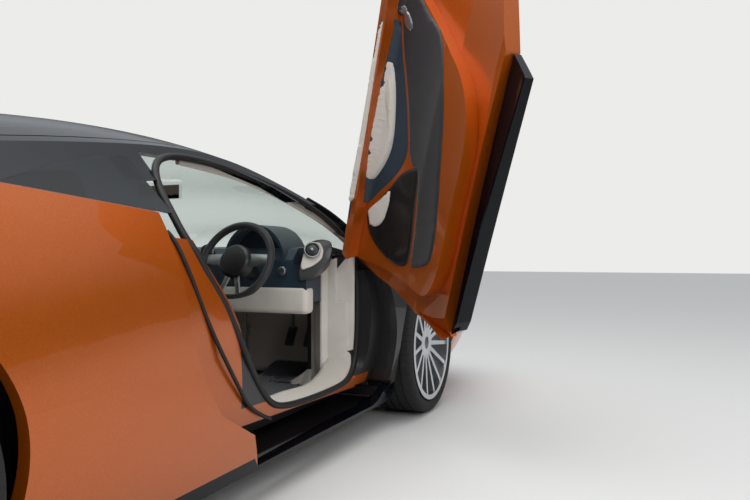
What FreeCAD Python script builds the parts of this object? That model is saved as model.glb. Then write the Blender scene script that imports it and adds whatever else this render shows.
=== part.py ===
import FreeCAD, Part
import math
import os

from FreeCAD import Rotation, Vector

# Mid-engined two-seat grand-touring supercar with swing-up doors, in millimetres.
# +X points forward, +Y to the car's left and +Z up. The origin is on the ground,
# in the centre plane, midway between the axles.

doc = FreeCAD.newDocument("Supercar")
sheet = doc.addObject("Spreadsheet::Sheet", "Dimensions")

DIMENSIONS = (
    ("wheelbase", 2675),
    ("track_front", 1671),
    ("track_rear", 1625),
    ("body_half_width", 965),
    ("body_height", 1213),
    ("belt_height", 862),
    ("ground_clearance", 110),
    ("front_overhang", 1082),
    ("rear_overhang", 925),
    ("tyre_front_diameter", 665),
    ("tyre_front_width", 225),
    ("rim_front_diameter", 508),
    ("tyre_rear_diameter", 710),
    ("tyre_rear_width", 295),
    ("rim_rear_diameter", 533),
    ("rim_flange", 16),
    ("arch_clearance", 42),
    ("arch_well_clearance", 80),
    ("spoke_count", 15),
    ("disc_front_diameter", 380),
    ("disc_rear_diameter", 360),
    ("disc_thickness", 32),
    ("hub_diameter", 150),
    ("axle_diameter", 60),
    ("axle_running_clearance", 0.1),
    ("kingpin_inset", 70),
    ("panel_thickness", 28),
    ("lid_thickness", 20),
    ("door_skin_depth", 62),
    ("door_depth", 112),
    ("door_rebate", 8),
    ("shut_gap", 6),
    ("hinge_pin_diameter", 10),
    ("seam_gap", 0.3),
    ("glass_thickness", 5),
    ("roof_thickness", 34),
    ("floor_thickness", 40),
    ("undertray_thickness", 12),
    ("seal_width", 14),
    ("seat_offset", 370),
    ("seat_width", 480),
    ("seat_bolster_width", 85),
    ("seat_back_width", 330),
    ("steering_wheel_diameter", 360),
    ("steering_rim_thickness", 30),
    ("steering_wheel_height", 735),
    ("steering_wheel_reach", 520),
    ("column_rake", 22),
    ("exhaust_diameter", 110),
    ("exhaust_wall", 4),
    ("binnacle_diameter", 300),
    ("console_width", 230),
    ("engine_length", 760),
    ("engine_width", 640),
    ("engine_height", 480),
    ("door_swing", 85),
)
for row, (alias, value) in enumerate(DIMENSIONS, start=1):
    sheet.set("A%d" % row, alias)
    sheet.set("B%d" % row, str(value))
    sheet.setAlias("B%d" % row, alias)
doc.recompute()


def size(alias):
    """Value of one driving dimension."""
    return float(sheet.get(alias))


# The outlines below are drawn at these reference sizes and follow the sheet.
DRAWN_HALF_WHEELBASE = 1337.5
DRAWN_HALF_WIDTH = 965.0
DRAWN_BELT = 862.0
DRAWN_HEIGHT = 1213.0
DRAWN_CLEARANCE = 110.0
DRAWN_FRONT_OVERHANG = 1082.5
DRAWN_REAR_OVERHANG = 925.5

RIGHT = -1
LEFT = 1
SIDES = (("right", RIGHT), ("left", LEFT))


def along(x):
    """A drawn lengthwise place moved with the axles and the overhangs."""
    half = size("wheelbase") / 2
    if x > DRAWN_HALF_WHEELBASE:
        return half + (x - DRAWN_HALF_WHEELBASE) * size("front_overhang") / DRAWN_FRONT_OVERHANG
    if x < -DRAWN_HALF_WHEELBASE:
        return -half + (x + DRAWN_HALF_WHEELBASE) * size("rear_overhang") / DRAWN_REAR_OVERHANG
    return x * half / DRAWN_HALF_WHEELBASE


def across(y):
    """A drawn distance from the centre plane moved with the body's width."""
    return y * size("body_half_width") / DRAWN_HALF_WIDTH


def up(z):
    """A drawn height moved with the ground clearance, the belt and the roof."""
    low, belt, top = size("ground_clearance"), size("belt_height"), size("body_height")
    if z <= DRAWN_BELT:
        return low + (z - DRAWN_CLEARANCE) * (belt - low) / (DRAWN_BELT - DRAWN_CLEARANCE)
    return belt + (z - DRAWN_BELT) * (top - belt) / (DRAWN_HEIGHT - DRAWN_BELT)


parts = []


def add_piece(label, shape):
    """One sub-part whose shape comes from Part's own functions."""
    piece = doc.addObject("Part::Feature", label)
    piece.Label = label
    piece.Shape = shape
    parts.append(piece)
    return piece


def mirrored(shape):
    """The same shape on the other side of the car's centre plane."""
    return shape.mirror(Vector(0, 0, 0), Vector(0, 1, 0))


def on_side(shape, side):
    """A shape drawn on the right side, or its twin on the left."""
    return shape if side == RIGHT else mirrored(shape)


def side_prism(outline, near=300.0, far=1300.0):
    """Solid whose outline is drawn in side view, on the right side of the car."""
    corners = [Vector(along(x), -far, up(z)) for x, z in outline]
    face = Part.Face(Part.makePolygon(corners + corners[:1]))
    return face.extrude(Vector(0, far - near, 0))


def smooth_prism(outline, near, far=1300.0):
    """As side_prism, with one smooth closed curve through the outline's points."""
    corners = [Vector(along(x), -far, up(z)) for x, z in outline]
    curve = Part.BSplineCurve()
    curve.interpolate(Points=corners, PeriodicFlag=True)
    face = Part.Face(Part.Wire([curve.toShape()]))
    return face.extrude(Vector(0, far - near, 0))


def plan_prism(outline, low=-50.0, high=1500.0):
    """Solid whose outline is drawn in plan."""
    corners = [Vector(along(x), across(y), low) for x, y in outline]
    face = Part.Face(Part.makePolygon(corners + corners[:1]))
    return face.extrude(Vector(0, 0, high - low))


def both_sides(outline):
    """A plan outline drawn on the left side, closed by its mirror image."""
    return list(outline) + [(x, -y) for x, y in reversed(outline) if y]


def grown(outline, gap):
    """An outline in side view or plan moved outwards by a gap."""
    face = Part.Face(Part.makePolygon([Vector(x, y, 0) for x, y in list(outline) + [outline[0]]]))
    wire = face.OuterWire.makeOffset2D(gap, 2)
    return [(v.X, v.Y) for v in wire.OrderedVertexes]


def block(x0, x1, y0, y1, z0, z1):
    """Box between two corners."""
    return Part.makeBox(x1 - x0, y1 - y0, z1 - z0, Vector(x0, y0, z0))


def rod(start, end, diameter):
    """Round bar between two points."""
    run = end - start
    return Part.makeCylinder(diameter / 2, run.Length, start, run)


# Sections of the lower body: place along the car, bottom edge, widest line,
# shoulder crest and inner deck edge as distance from the centre and height,
# and the height in the middle.
BODY_SECTIONS = (
    (2420, (330, 190), (470, 300), (430, 420), (300, 445), 455),
    (2340, (640, 150), (730, 300), (690, 450), (480, 500), 515),
    (2180, (760, 130), (870, 310), (810, 560), (560, 600), 590),
    (1900, (800, 115), (930, 330), (850, 690), (600, 700), 655),
    (1600, (830, 112), (950, 350), (850, 765), (600, 755), 705),
    (1337, (840, 112), (940, 380), (845, 800), (610, 780), 735),
    (1000, (850, 112), (930, 420), (840, 810), (640, 785), 750),
    (500, (850, 112), (895, 450), (838, 815), (640, 800), 780),
    (-100, (850, 112), (905, 470), (852, 838), (640, 820), 800),
    (-500, (850, 112), (930, 480), (864, 862), (640, 840), 820),
    (-900, (850, 112), (958, 480), (852, 892), (640, 870), 850),
    (-1337, (850, 112), (965, 480), (845, 912), (620, 890), 865),
    (-1800, (820, 130), (940, 500), (820, 905), (600, 890), 875),
    (-2100, (760, 200), (880, 520), (770, 890), (560, 885), 880),
    (-2262, (700, 300), (800, 560), (720, 860), (500, 875), 878),
)
LOFT_DEGREE = 3
LOWER_SIDE_BULGE = 0.05
UPPER_SIDE_BULGE = 0.08
CREST_BULGE = 0.10


def bowed_edge(start, control, end):
    """Quadratic curve from start to end, drawn towards its control point."""
    curve = Part.BezierCurve()
    curve.setPoles([start, control, end])
    return curve.toShape()


def half_section(points, middle, bulges, past):
    """Closed section of the right half: its side edges, its crown and the centre plane."""
    edges = []
    for start, end, bulge in zip(points, points[1:], bulges):
        if bulge:
            run = end - start
            outwards = Vector(0, -run.z, run.y).normalize()
            control = (start + end) * 0.5 + outwards * run.Length * bulge * 2
            edges.append(bowed_edge(start, control, end))
        else:
            edges.append(Part.makeLine(start, end))
    level = Vector(middle.x, points[-1].y / 2, middle.z)
    edges.append(bowed_edge(points[-1], level, middle))
    corner = middle
    if past:
        corner = middle + Vector(0, past, 0)
        edges.append(Part.makeLine(middle, corner))
    foot = Vector(corner.x, corner.y, points[0].z)
    edges.append(Part.makeLine(corner, foot))
    edges.append(Part.makeLine(foot, points[0]))
    return Part.Wire(edges)


def body_form(inset, past=0.0):
    """Right half of the lower body's outer form, or of that form drawn in by an inset."""
    wires = []
    last = len(BODY_SECTIONS) - 1
    for index, (x, bottom, waist, crest, deck, centre) in enumerate(BODY_SECTIONS):
        place = along(x)
        if index == 0:
            place -= inset
        if index == last:
            place += inset
        corners = (
            (bottom, inset, inset),
            (waist, inset, 0),
            (crest, inset * 0.7, -inset * 0.7),
            (deck, 0, -inset),
        )
        points = [Vector(place, dy - across(y), up(z) + dz) for (y, z), dy, dz in corners]
        middle = Vector(place, 0, up(centre) - inset)
        bulges = (LOWER_SIDE_BULGE, UPPER_SIDE_BULGE, CREST_BULGE)
        wires.append(half_section(points, middle, bulges, past))
    return Part.makeLoft(wires, True, False, False, LOFT_DEGREE)


# Sections of the glasshouse: place along the car, foot and roof rail as
# distance from the centre and height, and the height in the middle.
GLASSHOUSE_SECTIONS = (
    (1330, (480, 600), (455, 655), 690),
    (1160, (640, 680), (610, 760), 808),
    (980, (765, 720), (742, 818), 893),
    (830, (775, 765), (713, 893), 955),
    (580, (795, 785), (665, 985), 1053),
    (340, (808, 800), (630, 1048), 1120),
    (150, (818, 812), (604, 1085), 1186),
    (-70, (828, 825), (588, 1096), 1208),
    (-300, (838, 838), (580, 1080), 1200),
    (-600, (840, 850), (566, 1042), 1166),
    (-1000, (790, 855), (545, 980), 1094),
    (-1500, (690, 850), (515, 925), 1004),
    (-2000, (600, 845), (480, 892), 922),
    (-2215, (520, 840), (450, 875), 896),
)


def glasshouse_form(inset, past=0.0):
    """Right half of the glasshouse's outer form, drawn in or grown by an inset."""
    wires = []
    last = len(GLASSHOUSE_SECTIONS) - 1
    for index, (x, foot, rail, centre) in enumerate(GLASSHOUSE_SECTIONS):
        place = along(x)
        if index == 0:
            place -= inset
        if index == last:
            place += inset
        points = [
            Vector(place, inset * 1.3 - across(foot[0]), up(foot[1]) - max(inset, 0)),
            Vector(place, inset * 0.9 - across(rail[0]), up(rail[1]) - inset * 0.9),
        ]
        middle = Vector(place, 0, up(centre) - inset)
        wires.append(half_section(points, middle, (0,), past))
    return Part.makeLoft(wires, True, False, False, LOFT_DEGREE)


# Outlines in side view, as drawn place along the car and height.
DOOR_OUTLINE = (
    (-520, 960), (-478, 580), (-400, 434), (-318, 341), (-130, 243),
    (900, 208), (912, 430), (868, 640), (812, 960),
)
APERTURE_OUTLINE = (
    (-300, 1030), (-120, 1050), (78, 1048), (338, 1000), (610, 907), (740, 832), (800, 760), (808, 640),
    (806, 420), (780, 300), (690, 244), (440, 236), (180, 248), (36, 314), (-114, 492), (-213, 633),
    (-292, 740), (-340, 880), (-338, 980),
)
DOOR_GLASS_OUTLINE = (
    (-330, 805), (-345, 880), (-300, 1049), (78, 1056), (338, 1004), (610, 912), (715, 851), (735, 780),
)
QUARTER_GLASS_OUTLINE = ((-398, 868), (-370, 1030), (-480, 1016), (-640, 974), (-860, 903))
BUMPER_OUTLINE = (
    (1780, 40), (1780, 500), (1955, 548), (2185, 548), (2185, 800), (2600, 800), (2600, 40),
)
LAMP_OUTLINE = ((1975, 560), (2165, 520), (2260, 505), (2215, 600), (2060, 668), (1950, 662))
SKIRT_OUTLINE = (
    (-1050, 60), (-1050, 158), (-100, 158), (-70, 128), (800, 128), (845, 142), (905, 200), (1010, 200), (1010, 60),
)
DOOR_SILL_OUTLINE = ((-124, 236), (-66, 134), (794, 134), (836, 146), (884, 200))
VENT_OUTLINE = ((800, 120), (800, 700), (925, 700), (1020, 640), (1090, 560), (1090, 120))
SILL_OUTLINE = ((-700, 100), (-700, 1000), (-230, 1000), (-100, 300), (700, 262), (860, 262), (860, 100))
DIFFUSER_SPACE = ((-1600, 0), (-1600, 123), (-1620, 124), (-2235, 268), (-2235, 0))
TAIL_OUTLINE = ((-1955, 60), (-1955, 1000), (-2500, 1000), (-2500, 60))

# Outlines in plan on the left side, as drawn place along the car and distance
# from the centre plane.
WINDSCREEN_PLAN = (
    (1450, 0), (1450, 735), (985, 716), (830, 683), (580, 636), (340, 600), (190, 574),
    (150, 380), (128, 190), (120, 0),
)
BONNET_PLAN = ((2185, 0), (2180, 330), (2120, 520), (1950, 566), (1500, 590), (1075, 640), (1075, 0))
TAILGATE_PLAN = (
    (-330, 0), (-300, 200), (-215, 400), (-90, 552), (-700, 520), (-1400, 474), (-2080, 432), (-2120, 0),
)
TAILGATE_GLASS_PLAN = (
    (-400, 0), (-370, 200), (-290, 370), (-230, 460), (-700, 462), (-1400, 416), (-1950, 372), (-1985, 0),
)
CABIN_PLAN = ((1010, 0), (1010, 755), (830, 768), (340, 798), (-70, 818), (-600, 828), (-600, 0))
REAR_DECK_PLAN = ((-590, 0), (-590, 836), (-1000, 700), (-1500, 640), (-2050, 560), (-2050, 0))
REAR_WELL_PLAN = ((-595, 0), (-595, 805), (-1000, 725), (-1500, 592), (-2000, 485), (-2170, 400), (-2170, 0))

CENTRE_LAP = 5.0
outer_form = body_form(0)
inner_form = body_form(size("panel_thickness"), CENTRE_LAP)
house_cut = glasshouse_form(-size("seam_gap"), CENTRE_LAP)

half_base = size("wheelbase") / 2
low = size("ground_clearance") + 2
tray_top = low + size("undertray_thickness")
floor_top = tray_top + size("floor_thickness")

WHEELS = []
for end, share in (("front", 1), ("rear", -1)):
    for name, side in SIDES:
        WHEELS.append({
            "end": end,
            "name": name,
            "side": side,
            "x": share * half_base,
            "y": side * size("track_" + end) / 2,
            "radius": size("tyre_%s_diameter" % end) / 2,
            "width": size("tyre_%s_width" % end),
            "rim_radius": size("rim_%s_diameter" % end) / 2,
            "disc_radius": size("disc_%s_diameter" % end) / 2,
        })
FRONT_RIGHT, FRONT_LEFT, REAR_RIGHT, REAR_LEFT = WHEELS


def wheel_round(wheel, radius, near, far):
    """Cylinder round a wheel's axis between two distances from the centre plane."""
    start = Vector(wheel["x"], wheel["side"] * near, wheel["radius"])
    return Part.makeCylinder(radius, far - near, start, Vector(0, wheel["side"], 0))


WELL_INNER = 535
lip_cuts = []
well_cuts = []
for wheel in (FRONT_RIGHT, REAR_RIGHT):
    lip_cuts.append(wheel_round(wheel, wheel["radius"] + size("arch_clearance"), WELL_INNER, 1100))
    well_cuts.append(wheel_round(wheel, wheel["radius"] + size("arch_well_clearance"), WELL_INNER, 1100))

underside = block(along(-1965), along(2150), -across(790), CENTRE_LAP, 0, low + 50)
skin = outer_form.cut(inner_form).cut(house_cut).cut(underside)
lid_gap = size("shut_gap")
seam = size("seam_gap")

bonnet_grown = plan_prism(grown(both_sides(BONNET_PLAN), lid_gap), 400)
cabin_well = plan_prism(both_sides(CABIN_PLAN))
rear_well = plan_prism(both_sides(REAR_WELL_PLAN), 700)
skirt_grown = side_prism(grown(SKIRT_OUTLINE, seam))
door_sill_grown = side_prism(grown(DOOR_SILL_OUTLINE, lid_gap), 560)
vent_cut = side_prism(VENT_OUTLINE)
vent_grown = side_prism(grown(VENT_OUTLINE, seam))
door_grown = side_prism(grown(DOOR_OUTLINE, lid_gap), 560)
lamp_near = across(540)
lamp_cut = side_prism(LAMP_OUTLINE, lamp_near)
lamp_grown = side_prism(grown(LAMP_OUTLINE, seam), lamp_near - seam)
bumper_cut = side_prism(BUMPER_OUTLINE, -CENTRE_LAP)
bumper_grown = side_prism(grown(BUMPER_OUTLINE, seam), -CENTRE_LAP)
tail_cut = side_prism(TAIL_OUTLINE, -CENTRE_LAP)
tail_grown = side_prism(grown(TAIL_OUTLINE, seam), -CENTRE_LAP)
diffuser_grown = side_prism(grown(DIFFUSER_SPACE, 3), -CENTRE_LAP, across(790))


def cut_in_turn(shape, cutters):
    """A shape less each of several cutters."""
    for cutter in cutters:
        shape = shape.cut(cutter)
    return shape


def span(x0, x1):
    """Slab of space between two drawn places along the car, on the right side."""
    return block(along(x0), along(x1), -1300, CENTRE_LAP, 0, 1500)


def largest(shape):
    """The biggest solid of a shape, without the slivers that a cut leaves."""
    return max(shape.Solids, key=lambda solid: solid.Volume)


def whole(half):
    """A right half joined to its mirror image."""
    return half.fuse(mirrored(half)).removeSplitter()


def pair(shape):
    """A right-hand piece and its left-hand twin, which don't touch."""
    return Part.makeCompound([shape, mirrored(shape)])


# Each door swings out and up about one tilted pin at the foot of the windscreen
# pillar. The front post has room for the door's inner front corner.
HINGE_FOOT = Vector(along(926.1), -across(1013.8), up(600))
HINGE_RUN = Vector(-0.4383, 0.6844, 0.5827)
HINGE_PIN_START = 315.0
HINGE_PIN_END = 440.0


def hinge_rod(diameter, start, end):
    """Round bar along the right-hand door's hinge axis between two distances."""
    return rod(HINGE_FOOT + HINGE_RUN * start, HINGE_FOOT + HINGE_RUN * end, diameter)


HINGE_NOTCH = ((828, 733), (864, 733), (864, 790), (857, 832), (828, 832))
hinge_notch = side_prism(HINGE_NOTCH, across(784), across(864))
sill_room = block(along(760), along(935), -across(900), -across(735), up(194), up(218))
hinge_room = block(along(800), along(872), -across(860), -across(728), up(695), up(800))
opened = cut_in_turn(skin, [bonnet_grown, cabin_well, rear_well] + lip_cuts)
fender_whole = cut_in_turn(
    opened.common(span(780, 2330)),
    [door_grown, door_sill_grown, skirt_grown, lamp_grown, bumper_grown, hinge_notch, sill_room],
)
fender = largest(fender_whole.cut(vent_grown))
vent = largest(fender_whole.common(vent_cut))
quarter = largest(cut_in_turn(
    opened.common(span(-1957, 780)),
    [door_grown, door_sill_grown, skirt_grown, tail_grown, diffuser_grown],
))
skirt = largest(opened.common(side_prism(SKIRT_OUTLINE)))
door_sill = opened.common(side_prism(DOOR_SILL_OUTLINE, 560)).cut(side_prism(grown(DOOR_OUTLINE, seam), 560))
door_sill = largest(door_sill)

# The front bumper has a corner intake on each side and a low one in the middle.
CORNER_INTAKE = (1900, 2600, 470, 800, 190, 330)
MIDDLE_INTAKE = (2300, 2600, -5, 360, 160, 235)
TAIL_OPENING = (-2600, -2170, -5, 600, 560, 770)
LOW_TAIL_OPENING = (-2600, -1940, -5, 620, 100, 330)


def opening_block(opening, extra=0.0):
    """Box of an opening in the right half, drawn on the left, grown in height and width."""
    x0, x1, y0, y1, z0, z1 = opening
    return block(
        along(x0), along(x1), -across(y1) - extra, -across(y0) + (extra if y0 > 0 else 0),
        up(z0) - extra, up(z1) + extra,
    )


front_half = largest(opened.common(bumper_cut).cut(lamp_grown))
front_half = cut_in_turn(front_half, [opening_block(CORNER_INTAKE), opening_block(MIDDLE_INTAKE)])
PLATE_SPACING = 300
TOWING_SOCKET = 16
tail_half = largest(opened.common(tail_cut))
LAMP_STRIP = (-2600, -2040, 430, 1000, 800, 842)
lamp_strip = opening_block(LAMP_STRIP)
EXHAUST_Y = 300
EXHAUST_Z = 330
TAIL_END = -2290


def exhaust_round(radius, length):
    """Cylinder about the right-hand exhaust pipe from its end forwards."""
    start = Vector(along(TAIL_END), -across(EXHAUST_Y), up(EXHAUST_Z))
    return Part.makeCylinder(radius, length, start, Vector(1, 0, 0))


exhaust_hole = exhaust_round(size("exhaust_diameter") / 2 + size("shut_gap"), 200)
tail_half = cut_in_turn(tail_half, [
    opening_block(TAIL_OPENING), opening_block(LOW_TAIL_OPENING), opening_block(LAMP_STRIP, seam),
    exhaust_hole,
    rod(Vector(-2300, -PLATE_SPACING / 2, up(460)), Vector(-2150, -PLATE_SPACING / 2, up(460)), 6),
])
for name, side in SIDES:
    add_piece("fender_" + name, on_side(fender, side))
    add_piece("quarter_" + name, on_side(quarter, side))
add_piece("side_skirts", pair(skirt))
add_piece("fender_vents", pair(vent))
towing_hole = rod(Vector(2300, -250, up(300)), Vector(2500, -250, up(300)), TOWING_SOCKET)
add_piece("front_bumper", whole(front_half).cut(towing_hole))
add_piece("rear_bumper", whole(tail_half))

# Grilles: level slats that lie against the back of the bumper, joined at their ends.
GRILLE_DEPTH = 14.0
grille_front = size("panel_thickness") + 0.3
grille_layer = body_form(grille_front).cut(body_form(grille_front + GRILLE_DEPTH, CENTRE_LAP))


def grille(opening, pitch, bar):
    """Framed grille of level slats behind one opening."""
    frame = grille_layer.common(opening_block(opening, bar * 2))
    x0, x1, y0, y1, z0, z1 = opening
    slots = []
    height = up(z0) + bar
    while height + bar < up(z1):
        slots.append(block(
            along(x0), along(x1), -across(y1) + bar, -across(y0) - bar if y0 > 0 else CENTRE_LAP,
            height, min(height + pitch - bar, up(z1) - bar),
        ))
        height += pitch
    return frame.cut(Part.makeCompound(slots))


corner_grille = grille(CORNER_INTAKE, 34, 8).cut(front_half)
middle_grille = grille(MIDDLE_INTAKE, 34, 8).cut(front_half)
add_piece("front_grilles", Part.makeCompound([
    corner_grille, mirrored(corner_grille), whole(middle_grille),
]))
add_piece("rear_grille", whole(grille(TAIL_OPENING, 26, 7).cut(tail_half)))

LAMP_DEPTH = 60.0
lamp_body = outer_form.common(lamp_cut).cut(body_form(LAMP_DEPTH, CENTRE_LAP))
lamp_body = largest(cut_in_turn(lamp_body, [bonnet_grown] + lip_cuts))
add_piece("headlamps", pair(lamp_body))
tail_lamp = outer_form.common(lamp_strip).cut(body_form(LAMP_DEPTH / 2, CENTRE_LAP))
add_piece("tail_lamps", pair(largest(tail_lamp)))

# Front luggage lid.
bonnet_half = outer_form.common(plan_prism(both_sides(BONNET_PLAN), 400))
bonnet_half = bonnet_half.cut(body_form(size("lid_thickness"), CENTRE_LAP))
bonnet_half = largest(bonnet_half.cut(glasshouse_form(-lid_gap * 2, CENTRE_LAP)))
bonnet = whole(bonnet_half)

# Roof frame, windscreen, tailgate and fixed side glass.
house_form = glasshouse_form(0)
roof_layer = house_form.cut(glasshouse_form(size("roof_thickness"), CENTRE_LAP))
glass_layer = house_form.cut(glasshouse_form(size("glass_thickness"), CENTRE_LAP))
body_top = body_form(-seam, CENTRE_LAP)
windscreen_cut = plan_prism(both_sides(WINDSCREEN_PLAN), 600)
windscreen_grown = plan_prism(grown(both_sides(WINDSCREEN_PLAN), seam), 600)
tailgate_cut = plan_prism(both_sides(TAILGATE_PLAN), 600)
tailgate_grown = plan_prism(grown(both_sides(TAILGATE_PLAN), lid_gap), 600)
hatch_glass_cut = plan_prism(both_sides(TAILGATE_GLASS_PLAN), 600)
hatch_glass_grown = plan_prism(grown(both_sides(TAILGATE_GLASS_PLAN), 0.3), 600)
SIDE_GLASS_NEAR = 480.0
quarter_glass_cut = side_prism(QUARTER_GLASS_OUTLINE, SIDE_GLASS_NEAR)
quarter_glass_grown = side_prism(grown(QUARTER_GLASS_OUTLINE, seam), SIDE_GLASS_NEAR)
door_glass_cut = side_prism(DOOR_GLASS_OUTLINE, SIDE_GLASS_NEAR)
door_glass_grown = side_prism(grown(DOOR_GLASS_OUTLINE, lid_gap), SIDE_GLASS_NEAR)
roof_half = cut_in_turn(roof_layer, [
    windscreen_grown, tailgate_grown, quarter_glass_grown, door_glass_grown, body_top, door_grown,
])
hinge_pin_solid = hinge_rod(size("hinge_pin_diameter"), HINGE_PIN_START, HINGE_PIN_END)
roof_half = largest(roof_half).cut(hinge_pin_solid)
add_piece("roof_frame", whole(roof_half))
add_piece("door_hinges", pair(hinge_pin_solid))
screen_half = largest(glass_layer.common(windscreen_cut).cut(body_top))
add_piece("windscreen", whole(screen_half))
quarter_glass = largest(glass_layer.common(quarter_glass_cut).cut(body_top))
add_piece("quarter_glass", pair(quarter_glass))
tailgate_half = glasshouse_form(0).cut(glasshouse_form(size("lid_thickness"), CENTRE_LAP))
tailgate_half = largest(tailgate_half.common(tailgate_cut).cut(hatch_glass_grown).cut(body_top))
add_piece("tailgate", whole(tailgate_half))
hatch_glass_half = largest(glass_layer.common(hatch_glass_cut).cut(body_top))
add_piece("tailgate_glass", whole(hatch_glass_half))
add_piece("bonnet", bonnet)

# Carbon tub: floor, sills, door posts, bulkheads, front luggage tray and rear frame.
FOOTWELL_HALF = 500
CABIN_REAR = -560
CABIN_FRONT = 890
FOOTWELL_FRONT = 1160
TUB_REAR = -640
TUB_FRONT = 1190
RAIL_REAR = -1950


def half_block(x0, x1, y1, z0, z1, y0=0.0):
    """Box of the right half between drawn places, from the centre plane unless told."""
    near = CENTRE_LAP if y0 == 0 else -across(y0)
    return block(along(x0), along(x1), -across(y1), near, z0, z1)


tub_block = body_form(size("panel_thickness") + seam).common(
    half_block(TUB_REAR, TUB_FRONT, 900, tray_top, up(842))
)
aperture_cut = smooth_prism(APERTURE_OUTLINE, across(600))
door_recess = door_grown.cut(body_form(size("door_skin_depth") + size("door_rebate"), CENTRE_LAP))
cabin_space = half_block(CABIN_REAR, CABIN_FRONT, 640, floor_top, up(1000))
footwell_space = half_block(CABIN_FRONT - 1, FOOTWELL_FRONT, FOOTWELL_HALF, floor_top, up(560))
tub_half = cut_in_turn(tub_block, [
    cabin_space, footwell_space, aperture_cut, door_recess,
    glasshouse_form(-seam, CENTRE_LAP), skirt_grown,
    hinge_room, sill_room,
] + well_cuts)
tub_half = largest(tub_half)
sill_space = side_prism(SILL_OUTLINE, across(646), 1300)
sill_half = largest(tub_half.common(sill_space).cut(door_sill_grown))
tub_half = largest(tub_half.cut(side_prism(grown(SILL_OUTLINE, seam), across(646) - seam, 1300)))
tray_half = half_block(TUB_FRONT - 1, 1960, 440, tray_top, up(640)).common(
    body_form(size("panel_thickness") + lid_gap * 2)
)
tray_half = tray_half.cut(half_block(1230, 1920, 400, up(240), up(900)))
rear_rail = half_block(RAIL_REAR, TUB_REAR + 1, 420, tray_top, up(420), 340)
rear_rail = rear_rail.cut(side_prism(DIFFUSER_SPACE, 0))
tub = whole(tub_half.fuse(tray_half).fuse(rear_rail))
add_piece("tub", tub)
for name, side in SIDES:
    add_piece("sill_" + name, on_side(sill_half, side))

# Flat undertray that rises into the diffuser, with its upright fins.
UNDERTRAY_OUTLINE = ((2150, 112), (-1620, 112), (-2235, 255), (-2235, 268), (-1620, 124), (2150, 124))
undertray = side_prism(UNDERTRAY_OUTLINE, -CENTRE_LAP, across(786))
undertray = undertray.common(block(-3000, 3000, -1300, 0, 0, 1500))
undertray = cut_in_turn(undertray, well_cuts)
FIN_OUTLINE = ((-1700, 124), (-2225, 262), (-2225, 150), (-1750, 116))
fins = []
for fin_y in (120, 330, 540):
    fin = side_prism(FIN_OUTLINE, across(fin_y), across(fin_y) + 8)
    fins.append(fin)
undertray = undertray.fuse(fins)
tray_notch = half_block(-2600, -1945, 1300, 0, up(900), 612)
undertray = whole(undertray.cut(tray_notch))
add_piece("undertray", undertray)

# Arch liners between the wheel wells and the panels.
LINER_THICKNESS = 4.0
liners = []
liner_form = body_form(size("panel_thickness") + 0.3)
for wheel in (FRONT_RIGHT, REAR_RIGHT):
    well = wheel["radius"] + size("arch_well_clearance")
    shell = wheel_round(wheel, well, WELL_INNER + 8, 1100)
    shell = shell.cut(wheel_round(wheel, well - LINER_THICKNESS, WELL_INNER, 1101))
    shell = shell.common(liner_form).cut(block(-3000, 3000, -1300, 0, 0, up(250)))
    liners.append(largest(cut_in_turn(shell, [door_grown, rear_well])))
add_piece("arch_liners", Part.makeCompound(liners + [mirrored(s) for s in liners]))

# Luggage floor under the tailgate, over the engine.
deck_half = body_form(size("panel_thickness") + 0.3).common(plan_prism(both_sides(REAR_DECK_PLAN), 700))
deck_half = deck_half.cut(body_form(size("panel_thickness") + 14, CENTRE_LAP)).cut(
    block(along(TUB_REAR) - 0.3, 3000, -1300, CENTRE_LAP, 0, 1500)
)
add_piece("luggage_floor", whole(largest(deck_half)))

# Doors, drawn shut. Each is an outer shell, a lined inner panel and a drop glass.
door_prism = side_prism(DOOR_OUTLINE, 560)
door_shell = outer_form.common(door_prism).cut(body_form(size("door_skin_depth"), CENTRE_LAP))
door_shell = cut_in_turn(door_shell, [house_cut, cabin_well])
MIRROR_PLACE = (715, 972, 905)
GLASS_FOOT = 800
DOOR_EDGE_BEVEL = ((792, 700), (792, 790), (900, 862), (900, 700))
edge_bevel = plan_prism([(x, -y) for x, y in DOOR_EDGE_BEVEL], 150, 1000)
hinge_pin = size("hinge_pin_diameter")
hinge_bore = hinge_rod(hinge_pin + size("axle_running_clearance"), HINGE_PIN_START - 3, HINGE_PIN_END)
door_shell = largest(cut_in_turn(door_shell, [edge_bevel, hinge_bore]))
card_outline = grown(APERTURE_OUTLINE, -size("seal_width"))
door_card = body_form(size("door_skin_depth") + 0.3).common(smooth_prism(card_outline, 560))
door_card = door_card.cut(body_form(size("door_depth"), CENTRE_LAP))
card_inner = block(-3000, 3000, -across(700), 1300, 0, 1500)
door_card = largest(cut_in_turn(door_card, [glasshouse_form(-14, CENTRE_LAP), card_inner]))
door_glass = glass_layer.common(door_glass_cut)
door_glass = largest(door_glass.cut(block(-3000, 3000, -1300, 1300, -200, up(GLASS_FOOT))))
# The left-hand glass is up. The right-hand one is wound down inside its door.
add_piece("door_glass_left", mirrored(door_glass))
mirror_pod = Part.makeSphere(1).transformGeometry(FreeCAD.Matrix(
    62, 0, 0, 0, 0, 96, 0, 0, 0, 0, 56, 0, 0, 0, 0, 1,
))
mirror_pod = mirror_pod.cut(block(-100, -22, -200, 200, -200, 200))
mirror_pod.translate(Vector(along(MIRROR_PLACE[0]), -across(MIRROR_PLACE[1]), up(MIRROR_PLACE[2])))
mirror_foot = Vector(along(755), -across(838), up(815))
mirror_arm = rod(mirror_foot, Vector(along(735), -across(925), up(880)), 26)
mirror = largest(mirror_pod.fuse(mirror_arm).cut(door_shell))
door_sets = {"door": door_shell, "door_card": door_card, "door_sill": door_sill, "mirror": mirror}

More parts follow.
